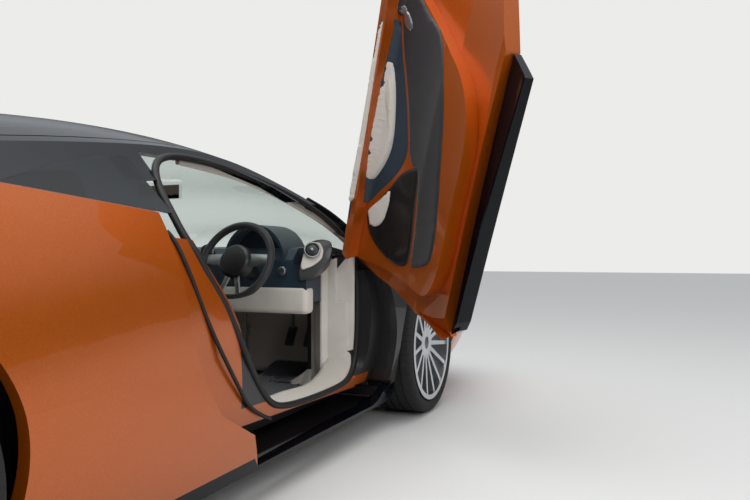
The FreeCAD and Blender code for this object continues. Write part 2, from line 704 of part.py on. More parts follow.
for label, shape in door_sets.items():
    add_piece(label + "_left", mirrored(shape))
    opened_door = shape.copy()
    opened_door.rotate(HINGE_FOOT, HINGE_RUN, size("door_swing"))
    add_piece(label + "_right", opened_door)

# Wheels, with the brake disc on each hub, and their tyres.
for wheel in WHEELS:
    outwards = wheel["side"]
    face = abs(wheel["y"]) + wheel["width"] / 2
    inner = abs(wheel["y"]) - wheel["width"] / 2
    bead = wheel["rim_radius"]
    lip = bead + size("rim_flange")

    def turned(profile):
        """Ring turned about the wheel's axis from distances and radii."""
        points = [Vector(wheel["x"], outwards * y, wheel["radius"] + r) for y, r in profile]
        face_ = Part.Face(Part.makePolygon(points + points[:1]))
        return face_.revolve(Vector(wheel["x"], 0, wheel["radius"]), Vector(0, 1, 0), 360)

    barrel = turned((
        (inner, bead - 6), (inner, lip), (inner + 8, lip), (inner + 14, bead),
        (face - 14, bead), (face - 8, lip), (face, lip), (face, bead - 6),
    ))
    hub_bore = size("axle_diameter") / 2 + size("axle_running_clearance") / 2
    hub_face = face - 30
    disc_y = abs(wheel["y"]) - 20
    hub = turned((
        (disc_y - 16, hub_bore), (disc_y - 16, size("hub_diameter") / 2),
        (hub_face, size("hub_diameter") / 2), (hub_face, hub_bore),
    ))
    disc = turned((
        (disc_y - size("disc_thickness") / 2, 60), (disc_y - size("disc_thickness") / 2, wheel["disc_radius"]),
        (disc_y + size("disc_thickness") / 2, wheel["disc_radius"]), (disc_y + size("disc_thickness") / 2, 60),
    ))
    spokes = []
    count = int(size("spoke_count"))
    for step in range(count):
        spoke = Part.makePolygon([
            Vector(wheel["x"] - 11, outwards * (hub_face - 26), wheel["radius"] + 60),
            Vector(wheel["x"] - 9, outwards * (face - 34), wheel["radius"] + bead - 2),
            Vector(wheel["x"] + 9, outwards * (face - 34), wheel["radius"] + bead - 2),
            Vector(wheel["x"] + 11, outwards * (hub_face - 26), wheel["radius"] + 60),
            Vector(wheel["x"] - 11, outwards * (hub_face - 26), wheel["radius"] + 60),
        ])
        bar = Part.Face(spoke).extrude(Vector(0, outwards * 26, 0))
        bar.rotate(Vector(wheel["x"], 0, wheel["radius"]), Vector(0, 1, 0), 360 * step / count)
        spokes.append(bar)
    rim = barrel.fuse([hub, disc] + spokes)
    add_piece("wheel_%s_%s" % (wheel["end"], wheel["name"]), rim)
    tyre = turned((
        (inner - 3, bead + 12), (inner - 6, bead + 40), (inner + 8, wheel["radius"] - 14),
        (inner + 26, wheel["radius"]), (face - 26, wheel["radius"]), (face - 8, wheel["radius"] - 14),
        (face + 6, bead + 40), (face + 3, bead + 12), (face - 9, bead + 14), (face - 14, bead + 0.2),
        (inner + 14, bead + 0.2), (inner + 9, bead + 14),
    ))
    tyre = tyre.cut(barrel)
    add_piece("tyre_%s_%s" % (wheel["end"], wheel["name"]), tyre)

# Knuckles with calipers turn on the kingpins in front; the rear ones are fixed.
PIN_REACH = 150
ARM_THICKNESS = 24
PIN_DIAMETER = 26
arms_front = []
uprights_rear = []
for wheel in WHEELS:
    side = wheel["side"]
    pin_y = abs(wheel["y"]) - size("kingpin_inset")
    disc_y = abs(wheel["y"]) - 20
    centre = Vector(wheel["x"], 0, wheel["radius"])

    def local_block(x0, x1, y0, y1, z0, z1):
        """Box about the wheel's centre, with distances from the car's centre plane."""
        ys = sorted((side * y0, side * y1))
        return block(centre.x + x0, centre.x + x1, ys[0], ys[1], centre.z + z0, centre.z + z1)

    plate = local_block(-55, 55, pin_y - 18, pin_y + 18, -PIN_REACH + 20, PIN_REACH - 20)
    spindle = wheel_round(wheel, size("axle_diameter") / 2, pin_y - 10, abs(wheel["y"]) + wheel["width"] / 2 - 40)
    carrier = wheel_round(wheel, 55, pin_y - 18, disc_y - 16 - 6)
    slot_half = size("disc_thickness") / 2 + 6
    caliper = wheel_round(wheel, wheel["disc_radius"] + 22, disc_y - slot_half - 30, disc_y + slot_half + 22)
    caliper = caliper.cut(wheel_round(wheel, wheel["disc_radius"] - 75, 0, 1100))
    caliper = caliper.cut(wheel_round(wheel, wheel["disc_radius"] + 6, disc_y - slot_half, disc_y + slot_half))
    caliper = caliper.common(local_block(-400, -95, 0, 1100, -110, 110))
    bracket = local_block(-wheel["disc_radius"] + 40, -40, pin_y - 10, disc_y - slot_half - 4, -40, 40)
    pins = rod(
        Vector(centre.x, side * pin_y, centre.z - PIN_REACH - 30),
        Vector(centre.x, side * pin_y, centre.z + PIN_REACH + 30), PIN_DIAMETER,
    )
    upright = plate.fuse([spindle, carrier, caliper, bracket, pins]).removeSplitter()
    if wheel["end"] == "front":
        add_piece("knuckle_" + wheel["name"], upright)
    else:
        uprights_rear.append(upright)
    for height in (-PIN_REACH - 6, PIN_REACH - 6):
        z = centre.z + height
        eye_clear = size("axle_running_clearance") / 2 if wheel["end"] == "front" else 0.0
        eye = rod(
            Vector(centre.x, side * pin_y, z), Vector(centre.x, side * pin_y, z + ARM_THICKNESS), 60,
        )
        inner_y = 440 if wheel["end"] == "front" else 420
        legs = []
        for reach in (-170, 170):
            start = Vector(centre.x + reach, side * across(inner_y), z + ARM_THICKNESS / 2)
            end_point = Vector(centre.x, side * pin_y, z + ARM_THICKNESS / 2)
            legs.append(rod(start, end_point, ARM_THICKNESS - 4))
        arm = eye.fuse(legs)
        arm = arm.cut(rod(
            Vector(centre.x, side * pin_y, z - 40), Vector(centre.x, side * pin_y, z + 80),
            PIN_DIAMETER + 2 * eye_clear,
        ))
        target = arms_front if wheel["end"] == "front" else uprights_rear
        target.append(arm.cut(tub))
add_piece("suspension_front", Part.makeCompound(arms_front))
add_piece("suspension_rear", Part.makeCompound(uprights_rear))

# Engine block, exhaust tips.
engine = block(
    along(TUB_REAR) - size("engine_length"), along(TUB_REAR), -330, 330, tray_top, tray_top + size("engine_height"),
)
add_piece("engine", engine)
tip_length = along(RAIL_REAR) - along(TAIL_END)
bore = exhaust_round(size("exhaust_diameter") / 2 - size("exhaust_wall"), tip_length - 20)
exhaust = exhaust_round(size("exhaust_diameter") / 2, tip_length).cut(bore)
add_piece("exhaust_tips", pair(exhaust))

# Seats: a low pan with side bolsters and a reclined back with a headrest.
SEAT_PAN = ((-330, 0), (160, 0), (170, 60), (150, 110), (60, 118), (-120, 84), (-250, 100), (-330, 120))
SEAT_BACK = (
    (-190, 70), (-150, 110), (-210, 260), (-262, 470), (-320, 640), (-362, 790), (-400, 830), (-452, 820),
    (-462, 760), (-420, 560), (-370, 330), (-300, 90),
)
SEAT_BOLSTER = (
    (-330, 20), (130, 20), (140, 100), (80, 160), (-80, 150), (-140, 200), (-180, 400), (-250, 560),
    (-340, 640), (-390, 600), (-360, 330), (-310, 90),
)
SEAT_SHIFT = -60


def seat_slab(outline, centre, width):
    """Seat part of one width, whose smooth outline is drawn above the cabin floor."""
    points = [Vector(along(x + SEAT_SHIFT), centre - width / 2, floor_top + z + seam) for x, z in outline]
    curve = Part.BSplineCurve()
    curve.interpolate(Points=points, PeriodicFlag=True)
    return Part.Face(Part.Wire([curve.toShape()])).extrude(Vector(0, width, 0))


seat_floor = block(-3000, 3000, -1300, 1300, 0, floor_top + seam)
for name, side in SIDES:
    middle = side * size("seat_offset")
    bolster = (size("seat_width") - size("seat_bolster_width")) / 2
    seat = seat_slab(SEAT_PAN, middle, size("seat_width") - size("seat_bolster_width"))
    seat = seat.fuse([
        seat_slab(SEAT_BACK, middle, size("seat_back_width")),
        seat_slab(SEAT_BOLSTER, middle - bolster, size("seat_bolster_width")),
        seat_slab(SEAT_BOLSTER, middle + bolster, size("seat_bolster_width")),
    ]).cut(seat_floor)
    add_piece("seat_" + name, largest(seat))

# Dashboard with the binnacle hood, centre console and pedals.
DASH_OUTLINE = ((1100, 565), (690, 565), (640, 620), (650, 740), (700, 790), (860, 800), (1100, 770))
dash = side_prism(DASH_OUTLINE, -CENTRE_LAP, across(630))
dash = dash.common(block(-3000, 3000, -1300, 0, 0, 1500))
dash = largest(dash.cut(tub_half).cut(door_recess))
dash = whole(dash)
add_piece("dashboard", dash)

# Instrument binnacle: a hooded drum on the dashboard ahead of the steering wheel.
binnacle_foot = Vector(along(648), -size("seat_offset"), up(742))
binnacle = Part.makeCylinder(size("binnacle_diameter") / 2, 200, binnacle_foot, Vector(1, 0, 0))
binnacle = binnacle.cut(Part.makeCylinder(
    size("binnacle_diameter") / 2 - 14, 70, binnacle_foot - Vector(1, 0, 0), Vector(1, 0, 0),
))
binnacle = largest(cut_in_turn(binnacle, [dash, block(-3000, 3000, -1300, 1300, 0, up(700))]))
binnacle = largest(binnacle.cut(glasshouse_form(0).cut(glasshouse_form(12, CENTRE_LAP))))
add_piece("binnacle", binnacle)

# Centre console between the seats, up to the dashboard.
CONSOLE_OUTLINE = (
    (-470, 0), (-470, 300), (-300, 330), (60, 250), (330, 270), (560, 360), (640, 452), (689, 452), (689, 0),
)
console_points = [Vector(along(x), -size("console_width") / 2, floor_top + seam + z) for x, z in CONSOLE_OUTLINE]
console = Part.Face(Part.makePolygon(console_points + console_points[:1])).extrude(
    Vector(0, size("console_width"), 0)
)
console = largest(console.cut(dash))
add_piece("centre_console", console)

# Two hanging pedals on the ceiling of the driver's footwell.
pedal_pieces = []
for pedal_y, width in ((-size("seat_offset") + 40, 44), (-size("seat_offset") - 75, 70)):
    pad = Part.makeBox(10, width, 95)
    pad.rotate(Vector(0, 0, 0), Vector(0, 1, 0), 28)
    pad.translate(Vector(along(1010), pedal_y - width / 2, up(330)))
    hanger = block(along(1050), along(1062), pedal_y - 6, pedal_y + 6, up(395), up(560) - seam)
    pedal_pieces.append(pad.fuse(hanger).removeSplitter())
add_piece("pedals", Part.makeCompound(pedal_pieces))

# Padded kick panels ahead of the doors and on the footwell's sides.
KICK_PLAN = ((804, 742), (792, 740), (786, 655), (770, 636), (770, 628), (850, 600), (889, 520), (889, 639), (804, 641))
kick = plan_prism([(x, -y) for x, y in KICK_PLAN], floor_top + seam, up(764))
kick = kick.common(smooth_prism(grown(APERTURE_OUTLINE, -seam), across(600)).fuse(
    half_block(CABIN_REAR, CABIN_FRONT, 640 - seam, floor_top + seam, up(764))
))
card_space = block(-3000, 3000, -1300, -across(692), up(560), 1500)
kick = largest(cut_in_turn(kick, [dash, tub, sill_half, door_recess, card_space]))
add_piece("kick_panels", pair(kick))

# Inside mirror on a short stem from the windscreen.
mirror_inside = block(along(480), along(498), -112, 112, up(1000), up(1058))
stem = rod(Vector(along(489), 0, up(1050)), Vector(along(520), 0, up(1120)), 12)
inside_mirror = mirror_inside.fuse(stem).common(glasshouse_form(size("glass_thickness") + seam).fuse(
    mirrored(glasshouse_form(size("glass_thickness") + seam))
))
add_piece("inside_mirror", largest(inside_mirror))

wheel_centre = Vector(along(size("steering_wheel_reach")), -size("seat_offset"), size("steering_wheel_height"))
rake = math.radians(size("column_rake"))
column_dir = Vector(-math.cos(rake), 0, math.sin(rake))
ring = Part.makeTorus(
    size("steering_wheel_diameter") / 2 - size("steering_rim_thickness") / 2,
    size("steering_rim_thickness") / 2, wheel_centre, column_dir,
)
HUB_BACK = 50
hub = Part.makeCylinder(52, 60, wheel_centre - column_dir * HUB_BACK, column_dir)
spokes = []
for turn in (0, 180, 270):
    bar = Part.makeBox(size("steering_wheel_diameter") / 2 - 12, 34, 12)
    bar.translate(Vector(0, -17, -6))
    bar.rotate(Vector(0, 0, 0), Vector(0, 0, 1), turn)
    bar.Placement = FreeCAD.Placement(
        wheel_centre, Rotation(Vector(0, 1, 0), Vector(0, 0, 1), column_dir, "ZXY")
    ).multiply(bar.Placement)
    spokes.append(bar)
add_piece("steering_wheel", ring.fuse([hub] + spokes))
column_end = wheel_centre - column_dir * (HUB_BACK + seam)
column = Part.makeCylinder(30, 200, column_end, column_dir * -1)
add_piece("steering_column", largest(column.cut(dash)))

doc.recompute()
for item in doc.Objects:
    if "Invalid" in item.State or "Error" in item.State:
        raise ValueError("%s did not compute" % item.Label)
for piece in parts:
    if piece.Shape.isNull() or not piece.Shape.isValid():
        raise ValueError("%s has no valid shape" % piece.Label)

os.makedirs("parts", exist_ok=True)
for piece in parts:
    print(piece.Label, len(piece.Shape.Solids), round(piece.Shape.Volume / 1e6, 2))
    piece.Shape.exportStep("parts/%s.step" % piece.Label)
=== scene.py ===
import math

import bmesh
import bpy
from mathutils import Matrix, Vector
from mathutils.bvhtree import BVHTree


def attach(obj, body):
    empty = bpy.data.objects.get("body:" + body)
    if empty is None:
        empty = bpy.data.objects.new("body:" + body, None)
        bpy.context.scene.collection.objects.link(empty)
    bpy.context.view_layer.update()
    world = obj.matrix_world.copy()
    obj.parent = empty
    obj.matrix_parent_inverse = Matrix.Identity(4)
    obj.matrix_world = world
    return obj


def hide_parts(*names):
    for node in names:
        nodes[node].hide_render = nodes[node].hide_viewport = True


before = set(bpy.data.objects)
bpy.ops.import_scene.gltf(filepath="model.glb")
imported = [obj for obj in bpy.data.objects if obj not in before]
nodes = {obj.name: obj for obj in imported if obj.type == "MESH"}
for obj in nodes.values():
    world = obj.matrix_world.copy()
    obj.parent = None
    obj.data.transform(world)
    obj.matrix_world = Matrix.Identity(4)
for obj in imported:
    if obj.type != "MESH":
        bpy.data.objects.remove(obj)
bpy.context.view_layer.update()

# Studio: a pale floor, an overcast sky of even light, two large soft lamps and
# the camera beside the right rear wheel arch, where the photographer stood.
scene = bpy.context.scene
scene.view_settings.view_transform = "Standard"
CAMERA_PLACE = (-1.80, -1.972, 0.76)
CAMERA_YAW = math.radians(22.96)
CAMERA_PITCH = 0.008
camera = bpy.data.objects.new("camera", bpy.data.cameras.new("camera"))
camera.data.sensor_width = 36
camera.data.lens = 672.8 / 750 * 36
camera.data.clip_end = 100
camera.location = CAMERA_PLACE
camera.rotation_euler = (math.pi / 2 + CAMERA_PITCH, 0, CAMERA_YAW - math.pi / 2)
scene.collection.objects.link(camera)
scene.camera = camera


def linear(code):
    """Linear colour of an sRGB hex value."""
    parts = [int(code[i:i + 2], 16) / 255 for i in (1, 3, 5)]
    return tuple(p / 12.92 if p <= 0.04045 else ((p + 0.055) / 1.055) ** 2.4 for p in parts) + (1.0,)


def add(tree, kind, settings, links):
    """One node with its settings, and its inputs linked to other nodes' outputs."""
    node = tree.nodes.new(kind)
    for name, value in settings.items():
        if isinstance(name, int) or name in node.inputs:
            node.inputs[name].default_value = value
        else:
            setattr(node, name, value)
    for name, source in links.items():
        tree.links.new(source, node.inputs[name])
    return node


def finish_of(name, **settings):
    """A material by name, its node tree and its shader with some sockets set."""
    material = bpy.data.materials.new(name)
    material.use_nodes = True
    shader = material.node_tree.nodes["Principled BSDF"]
    for key, value in settings.items():
        shader.inputs[key.replace("_", " ")].default_value = value
    return material, material.node_tree, shader


world = bpy.data.worlds.new("overcast_sky")
scene.world = world
world.use_nodes = True
sky = world.node_tree
background = sky.nodes["Background"]
direction = add(sky, "ShaderNodeTexCoord", {}, {})
height = add(sky, "ShaderNodeSeparateXYZ", {}, {0: direction.outputs["Generated"]})
lift = add(sky, "ShaderNodeMapRange", {"From Min": -0.15, "From Max": 0.9}, {"Value": height.outputs["Z"]})
shade = add(sky, "ShaderNodeValToRGB", {}, {0: lift.outputs[0]})
band = shade.color_ramp.elements
band[0].color = linear("#8A8782")
band[1].color = linear("#F2F5F8")
for place, code in ((0.16, "#4A4845"), (0.36, "#5E5D5B"), (0.55, "#C9CFD6")):
    band.new(place).color = linear(code)
rays = add(sky, "ShaderNodeLightPath", {}, {})
direct = add(sky, "ShaderNodeMath", {"operation": "MAXIMUM"},
             {0: rays.outputs["Is Camera Ray"], 1: rays.outputs["Is Transmission Ray"]})
seen = add(sky, "ShaderNodeMix", {"data_type": "RGBA", 7: linear("#ECECEA")},
           {0: direct.outputs[0], 6: shade.outputs[0]})
sky.links.new(seen.outputs[2], background.inputs["Color"])
background.inputs["Strength"].default_value = 1.0

for name, place, aim, width, power in (
    ("lamp_over", (-1.5, -0.5, 5.0), (-0.2, 0.0, 0.5), 5.0, 190.0),
    ("lamp_side", (-2.6, -6.5, 3.2), (0.2, -0.6, 0.6), 3.0, 110.0),
):
    lamp = bpy.data.objects.new(name, bpy.data.lights.new(name, "AREA"))
    lamp.data.size = width
    lamp.data.energy = power
    lamp.location = place
    lamp.rotation_euler = (Vector(aim) - Vector(place)).to_track_quat("-Z", "Y").to_euler()
    scene.collection.objects.link(lamp)

bm = bmesh.new()
bmesh.ops.create_grid(bm, x_segments=1, y_segments=1, size=30)
bmesh.ops.translate(bm, verts=bm.verts, vec=(0, 0, -0.001))
floor = bpy.data.objects.new("floor", bpy.data.meshes.new("floor"))
bm.to_mesh(floor.data)
bm.free()
scene.collection.objects.link(floor)
floor_paint, tree, shader = finish_of("floor_matt", Base_Color=linear("#D6D5D2"), Roughness=0.8)
floor.data.materials.append(floor_paint)

# Outer panels: pressed aluminium in an orange metallic base coat under a clear
# coat. The flakes give the base its grain and the coat its sharp highlights.
orange, tree, shader = finish_of(
    "orange_metallic_clear_coat", Metallic=0.5, Roughness=0.33, Coat_Weight=0.5, Coat_Roughness=0.03,
)
place = add(tree, "ShaderNodeTexCoord", {}, {})
# Flakes of 0.1 mm are drawn 3 mm apart so that they show.
flakes = add(tree, "ShaderNodeTexNoise", {"Scale": 330.0, "Detail": 2.0}, {"Vector": place.outputs["Object"]})
tone = add(tree, "ShaderNodeMix", {"data_type": "RGBA", 6: linear("#AB4A04"), 7: linear("#CC660E")},
           {0: flakes.outputs["Fac"]})
tree.links.new(tone.outputs[2], shader.inputs["Base Color"])
# The clear coat's peel is some 6 mm from crest to crest.
peel = add(tree, "ShaderNodeTexNoise", {"Scale": 160.0, "Detail": 1.0}, {"Vector": place.outputs["Object"]})
ripple = add(tree, "ShaderNodeBump", {"Strength": 0.02, "Distance": 0.001}, {"Height": peel.outputs["Fac"]})
tree.links.new(ripple.outputs["Normal"], shader.inputs["Coat Normal"])
for node in ("fender_right", "fender_left", "quarter_right", "quarter_left", "front_bumper", "rear_bumper",
             "bonnet", "door_right", "door_left", "door_card_right", "door_card_left", "sill_right", "sill_left"):
    nodes[node].data.materials.clear()
    nodes[node].data.materials.append(orange)

# Fender ends behind the front wheels: painted on the closed left side, while the
# right one shows the black inner panel that the open door uncovers.
fender_end, tree, shader = finish_of("painted_and_undersealed_steel", Coat_Weight=0.5, Coat_Roughness=0.05)
place = add(tree, "ShaderNodeTexCoord", {}, {})
across = add(tree, "ShaderNodeSeparateXYZ", {}, {0: place.outputs["Object"]})
left_side = add(tree, "ShaderNodeMath", {"operation": "GREATER_THAN", 1: 0.0}, {0: across.outputs["Y"]})
speckle = add(tree, "ShaderNodeTexNoise", {"Scale": 330.0, "Detail": 2.0}, {"Vector": place.outputs["Object"]})
paint_tone = add(tree, "ShaderNodeMix", {"data_type": "RGBA", 6: linear("#AB4A04"), 7: linear("#CC660E")},
                 {0: speckle.outputs["Fac"]})
tone = add(tree, "ShaderNodeMix", {"data_type": "RGBA", 6: linear("#0C0B0B")},
           {0: left_side.outputs[0], 7: paint_tone.outputs[2]})
tree.links.new(tone.outputs[2], shader.inputs["Base Color"])
gloss = add(tree, "ShaderNodeMapRange", {"To Min": 0.6, "To Max": 0.33}, {"Value": left_side.outputs[0]})
tree.links.new(gloss.outputs[0], shader.inputs["Roughness"])
nodes["fender_vents"].data.materials.clear()
nodes["fender_vents"].data.materials.append(fender_end)

# Roof frame, tailgate, sill trims and mirrors: moulded panels bonded or bolted on, in
# a blue-black gloss paint that shows only sharp, faint reflections.
roof_black, tree, shader = finish_of(
    "blue_black_gloss_paint", Roughness=0.09, IOR=1.24,
)
place = add(tree, "ShaderNodeTexCoord", {}, {})
haze = add(tree, "ShaderNodeTexNoise", {"Scale": 9.0, "Detail": 3.0}, {"Vector": place.outputs["Object"]})
tone = add(tree, "ShaderNodeMix", {"data_type": "RGBA", 6: linear("#04060A"), 7: linear("#080C13")},
           {0: haze.outputs["Fac"]})
tree.links.new(tone.outputs[2], shader.inputs["Base Color"])
for node in ("roof_frame", "tailgate", "side_skirts", "door_sill_right", "door_sill_left", "mirror_right",
             "mirror_left"):
    nodes[node].data.materials.clear()
    nodes[node].data.materials.append(roof_black)

# Glass: laminated windscreen and toughened side and rear panes, bonded to the frame.
# The front ones are faintly green, the rear ones dark, and the lamps' lenses milky.
clear_glass, tree, shader = finish_of(
    "clear_tinted_glass", Base_Color=linear("#E2ECE8"), Roughness=0.0, IOR=1.45, Transmission_Weight=1.0,
)
dark_glass, tree, shader = finish_of(
    "privacy_tinted_glass", Base_Color=linear("#1E242B"), Roughness=0.0, IOR=1.22, Transmission_Weight=1.0,
)
lens, tree, shader = finish_of(
    "polycarbonate_lens", Base_Color=linear("#B9BFC4"), Roughness=0.08, IOR=1.58, Transmission_Weight=0.6,
)
red_lens, tree, shader = finish_of(
    "red_acrylic_lens", Base_Color=linear("#7A0B0B"), Roughness=0.08, IOR=1.49, Transmission_Weight=0.3,
)
for node, glass in (
    ("windscreen", clear_glass), ("door_glass_left", clear_glass), ("quarter_glass", dark_glass),
    ("tailgate_glass", dark_glass), ("headlamps", lens), ("tail_lamps", red_lens),
):
    nodes[node].data.materials.clear()
    nodes[node].data.materials.append(glass)

# Structure: the tub with its liners and undertray, moulded composite bolted together,
# satin black with a faint mottle of resin.
composite, tree, shader = finish_of("black_moulded_composite", Roughness=0.42, Coat_Weight=0.2)
place = add(tree, "ShaderNodeTexCoord", {}, {})
mottle = add(tree, "ShaderNodeTexNoise", {"Scale": 60.0, "Detail": 4.0}, {"Vector": place.outputs["Object"]})
tone = add(tree, "ShaderNodeMix", {"data_type": "RGBA", 6: linear("#0D0D0F"), 7: linear("#1B1B1E")},
           {0: mottle.outputs["Fac"]})
tree.links.new(tone.outputs[2], shader.inputs["Base Color"])
grain = add(tree, "ShaderNodeBump", {"Strength": 0.15, "Distance": 0.0005}, {"Height": mottle.outputs["Fac"]})
tree.links.new(grain.outputs["Normal"], shader.inputs["Normal"])
for node in ("tub", "arch_liners", "undertray", "front_grilles", "rear_grille", "steering_column",
             "luggage_floor"):
    nodes[node].data.materials.clear()
    nodes[node].data.materials.append(composite)

# Cabin leathers: smooth hides in navy, cream and charcoal, with a pebble grain
# about 1.5 mm across and a soft sheen.
hides = {}
for name, dark, light, rough in (
    ("navy_hide", "#152531", "#22384A", 0.5),
    ("cream_hide", "#CFC9C0", "#E4E0DA", 0.55),
    ("charcoal_hide", "#1E1F22", "#2C2D31", 0.5),
):
    hide, tree, shader = finish_of(name, Roughness=rough, Sheen_Weight=0.15)
    place = add(tree, "ShaderNodeTexCoord", {}, {})
    blotch = add(tree, "ShaderNodeTexNoise", {"Scale": 14.0, "Detail": 3.0}, {"Vector": place.outputs["Object"]})
    tone = add(tree, "ShaderNodeMix", {"data_type": "RGBA", 6: linear(dark), 7: linear(light)},
               {0: blotch.outputs["Fac"]})
    tree.links.new(tone.outputs[2], shader.inputs["Base Color"])
    pebble = add(tree, "ShaderNodeTexVoronoi", {"Scale": 650.0}, {"Vector": place.outputs["Object"]})
    relief = add(tree, "ShaderNodeBump", {"Strength": 0.12, "Distance": 0.0004},
                 {"Height": pebble.outputs["Distance"]})
    tree.links.new(relief.outputs["Normal"], shader.inputs["Normal"])
    hides[name] = hide
for node, name in (
    ("dashboard", "navy_hide"), ("binnacle", "navy_hide"), ("centre_console", "charcoal_hide"),
    ("kick_panels", "cream_hide"), ("steering_wheel", "charcoal_hide"),
):
    nodes[node].data.materials.clear()
    nodes[node].data.materials.append(hides[name])

# Running gear: turned aluminium wheels with a bright even face, sand-cast arms and
# knuckles with a dull grit, and tyres whose black rubber is dusty.
alloy, tree, shader = finish_of("turned_silver_alloy", Metallic=1.0, Roughness=0.28)
place = add(tree, "ShaderNodeTexCoord", {}, {})
cloud = add(tree, "ShaderNodeTexNoise", {"Scale": 40.0, "Detail": 3.0}, {"Vector": place.outputs["Object"]})
tone = add(tree, "ShaderNodeMix", {"data_type": "RGBA", 6: linear("#C4C6C9"), 7: linear("#DCDEE0")},
           {0: cloud.outputs["Fac"]})
tree.links.new(tone.outputs[2], shader.inputs["Base Color"])
casting, tree, shader = finish_of("sand_cast_aluminium", Metallic=0.9, Roughness=0.55)
place = add(tree, "ShaderNodeTexCoord", {}, {})
sand = add(tree, "ShaderNodeTexNoise", {"Scale": 400.0, "Detail": 2.0}, {"Vector": place.outputs["Object"]})
tone = add(tree, "ShaderNodeMix", {"data_type": "RGBA", 6: linear("#6C6E70"), 7: linear("#8B8D8F")},
           {0: sand.outputs["Fac"]})
tree.links.new(tone.outputs[2], shader.inputs["Base Color"])
rubber, tree, shader = finish_of("black_tyre_rubber", Roughness=0.78)
place = add(tree, "ShaderNodeTexCoord", {}, {})
dust = add(tree, "ShaderNodeTexNoise", {"Scale": 25.0, "Detail": 5.0}, {"Vector": place.outputs["Object"]})
tone = add(tree, "ShaderNodeMix", {"data_type": "RGBA", 6: linear("#17171A"), 7: linear("#2A2926")},
           {0: dust.outputs["Fac"]})
tree.links.new(tone.outputs[2], shader.inputs["Base Color"])
for end in ("front", "rear"):
    for side in ("right", "left"):
        for node, material in (("wheel_%s_%s", alloy), ("tyre_%s_%s", rubber)):
            mesh = nodes[node % (end, side)].data
            mesh.materials.clear()
            mesh.materials.append(material)
for node in ("knuckle_right", "knuckle_left", "suspension_front", "suspension_rear", "engine", "exhaust_tips",
             "door_hinges"):
    nodes[node].data.materials.clear()
    nodes[node].data.materials.append(casting)

# Door trim: padded hide panels glued and clipped to the door card, a cream arm rest
# panel with a black pull slot, charcoal lower hides and a moulded black foot.
# The doors swing about one tilted pin; the right one stands 85 degrees open.
HINGE_FOOT = Vector((0.9261, -1.0138, 0.6))
HINGE_RUN = Vector((-0.4383, 0.6844, 0.5827)).normalized()
DOOR_SWING = math.radians(85)
opened = (Matrix.Translation(HINGE_FOOT) @ Matrix.Rotation(DOOR_SWING, 4, HINGE_RUN)
          @ Matrix.Translation(-HINGE_FOOT))
moulding, tree, shader = finish_of("black_abs_moulding", Roughness=0.38, Coat_Weight=0.25)
place = add(tree, "ShaderNodeTexCoord", {}, {})
dimple = add(tree, "ShaderNodeTexNoise", {"Scale": 420.0, "Detail": 2.0}, {"Vector": place.outputs["Object"]})
tone = add(tree, "ShaderNodeMix", {"data_type": "RGBA", 6: linear("#0B0B0C"), 7: linear("#171718")},
           {0: dimple.outputs["Fac"]})
tree.links.new(tone.outputs[2], shader.inputs["Base Color"])
grain = add(tree, "ShaderNodeBump", {"Strength": 0.1, "Distance": 0.0004}, {"Height": dimple.outputs["Fac"]})
tree.links.new(grain.outputs["Normal"], shader.inputs["Normal"])


def piece_of(name, bm, material, body, sharp=40):
    """A finished piece from its bmesh, which rides on a body."""
    bmesh.ops.recalc_face_normals(bm, faces=bm.faces[:])
    obj = bpy.data.objects.new(name, bpy.data.meshes.new(name))
    bm.to_mesh(obj.data)
    bm.free()
    scene.collection.objects.link(obj)
    obj.data.materials.append(material)
    obj.data.polygons.foreach_set("use_smooth", [True] * len(obj.data.polygons))
    obj.data.set_sharp_from_angle(angle=math.radians(sharp))
    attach(obj, body)
    return obj


def surface_of(*names):
    """The faces of some CAD nodes, to lay other pieces on."""
    bm = bmesh.new()
    for name in names:
        bm.from_mesh(nodes[name].data)
    tree = BVHTree.FromBMesh(bm)
    bm.free()
    return tree


def rounded_sheet(outline, rounding, cell):
    """A flat sheet of triangles up to a cell wide inside an outline with rounded corners."""
    bm = bmesh.new()
    bm.faces.new([bm.verts.new(point) for point in outline])
    bmesh.ops.bevel(bm, geom=bm.verts[:], offset=rounding, offset_type="PERCENT", affect="VERTICES", segments=4,
                    profile=0.5, material=-1)
    bmesh.ops.triangulate(bm, faces=bm.faces[:])
    for halving in range(5):
        long_edges = [edge for edge in bm.edges if edge.calc_length() > cell]
        if long_edges:
            bmesh.ops.subdivide_edges(bm, edges=long_edges, cuts=1)
            bmesh.ops.triangulate(bm, faces=bm.faces[:])
            bmesh.ops.beautify_fill(bm, faces=bm.faces[:], edges=bm.edges[:])
    return bm


CORNER_ROUNDING = 38
PANEL_CELL = 0.010
SUNK_EDGE = 0.002


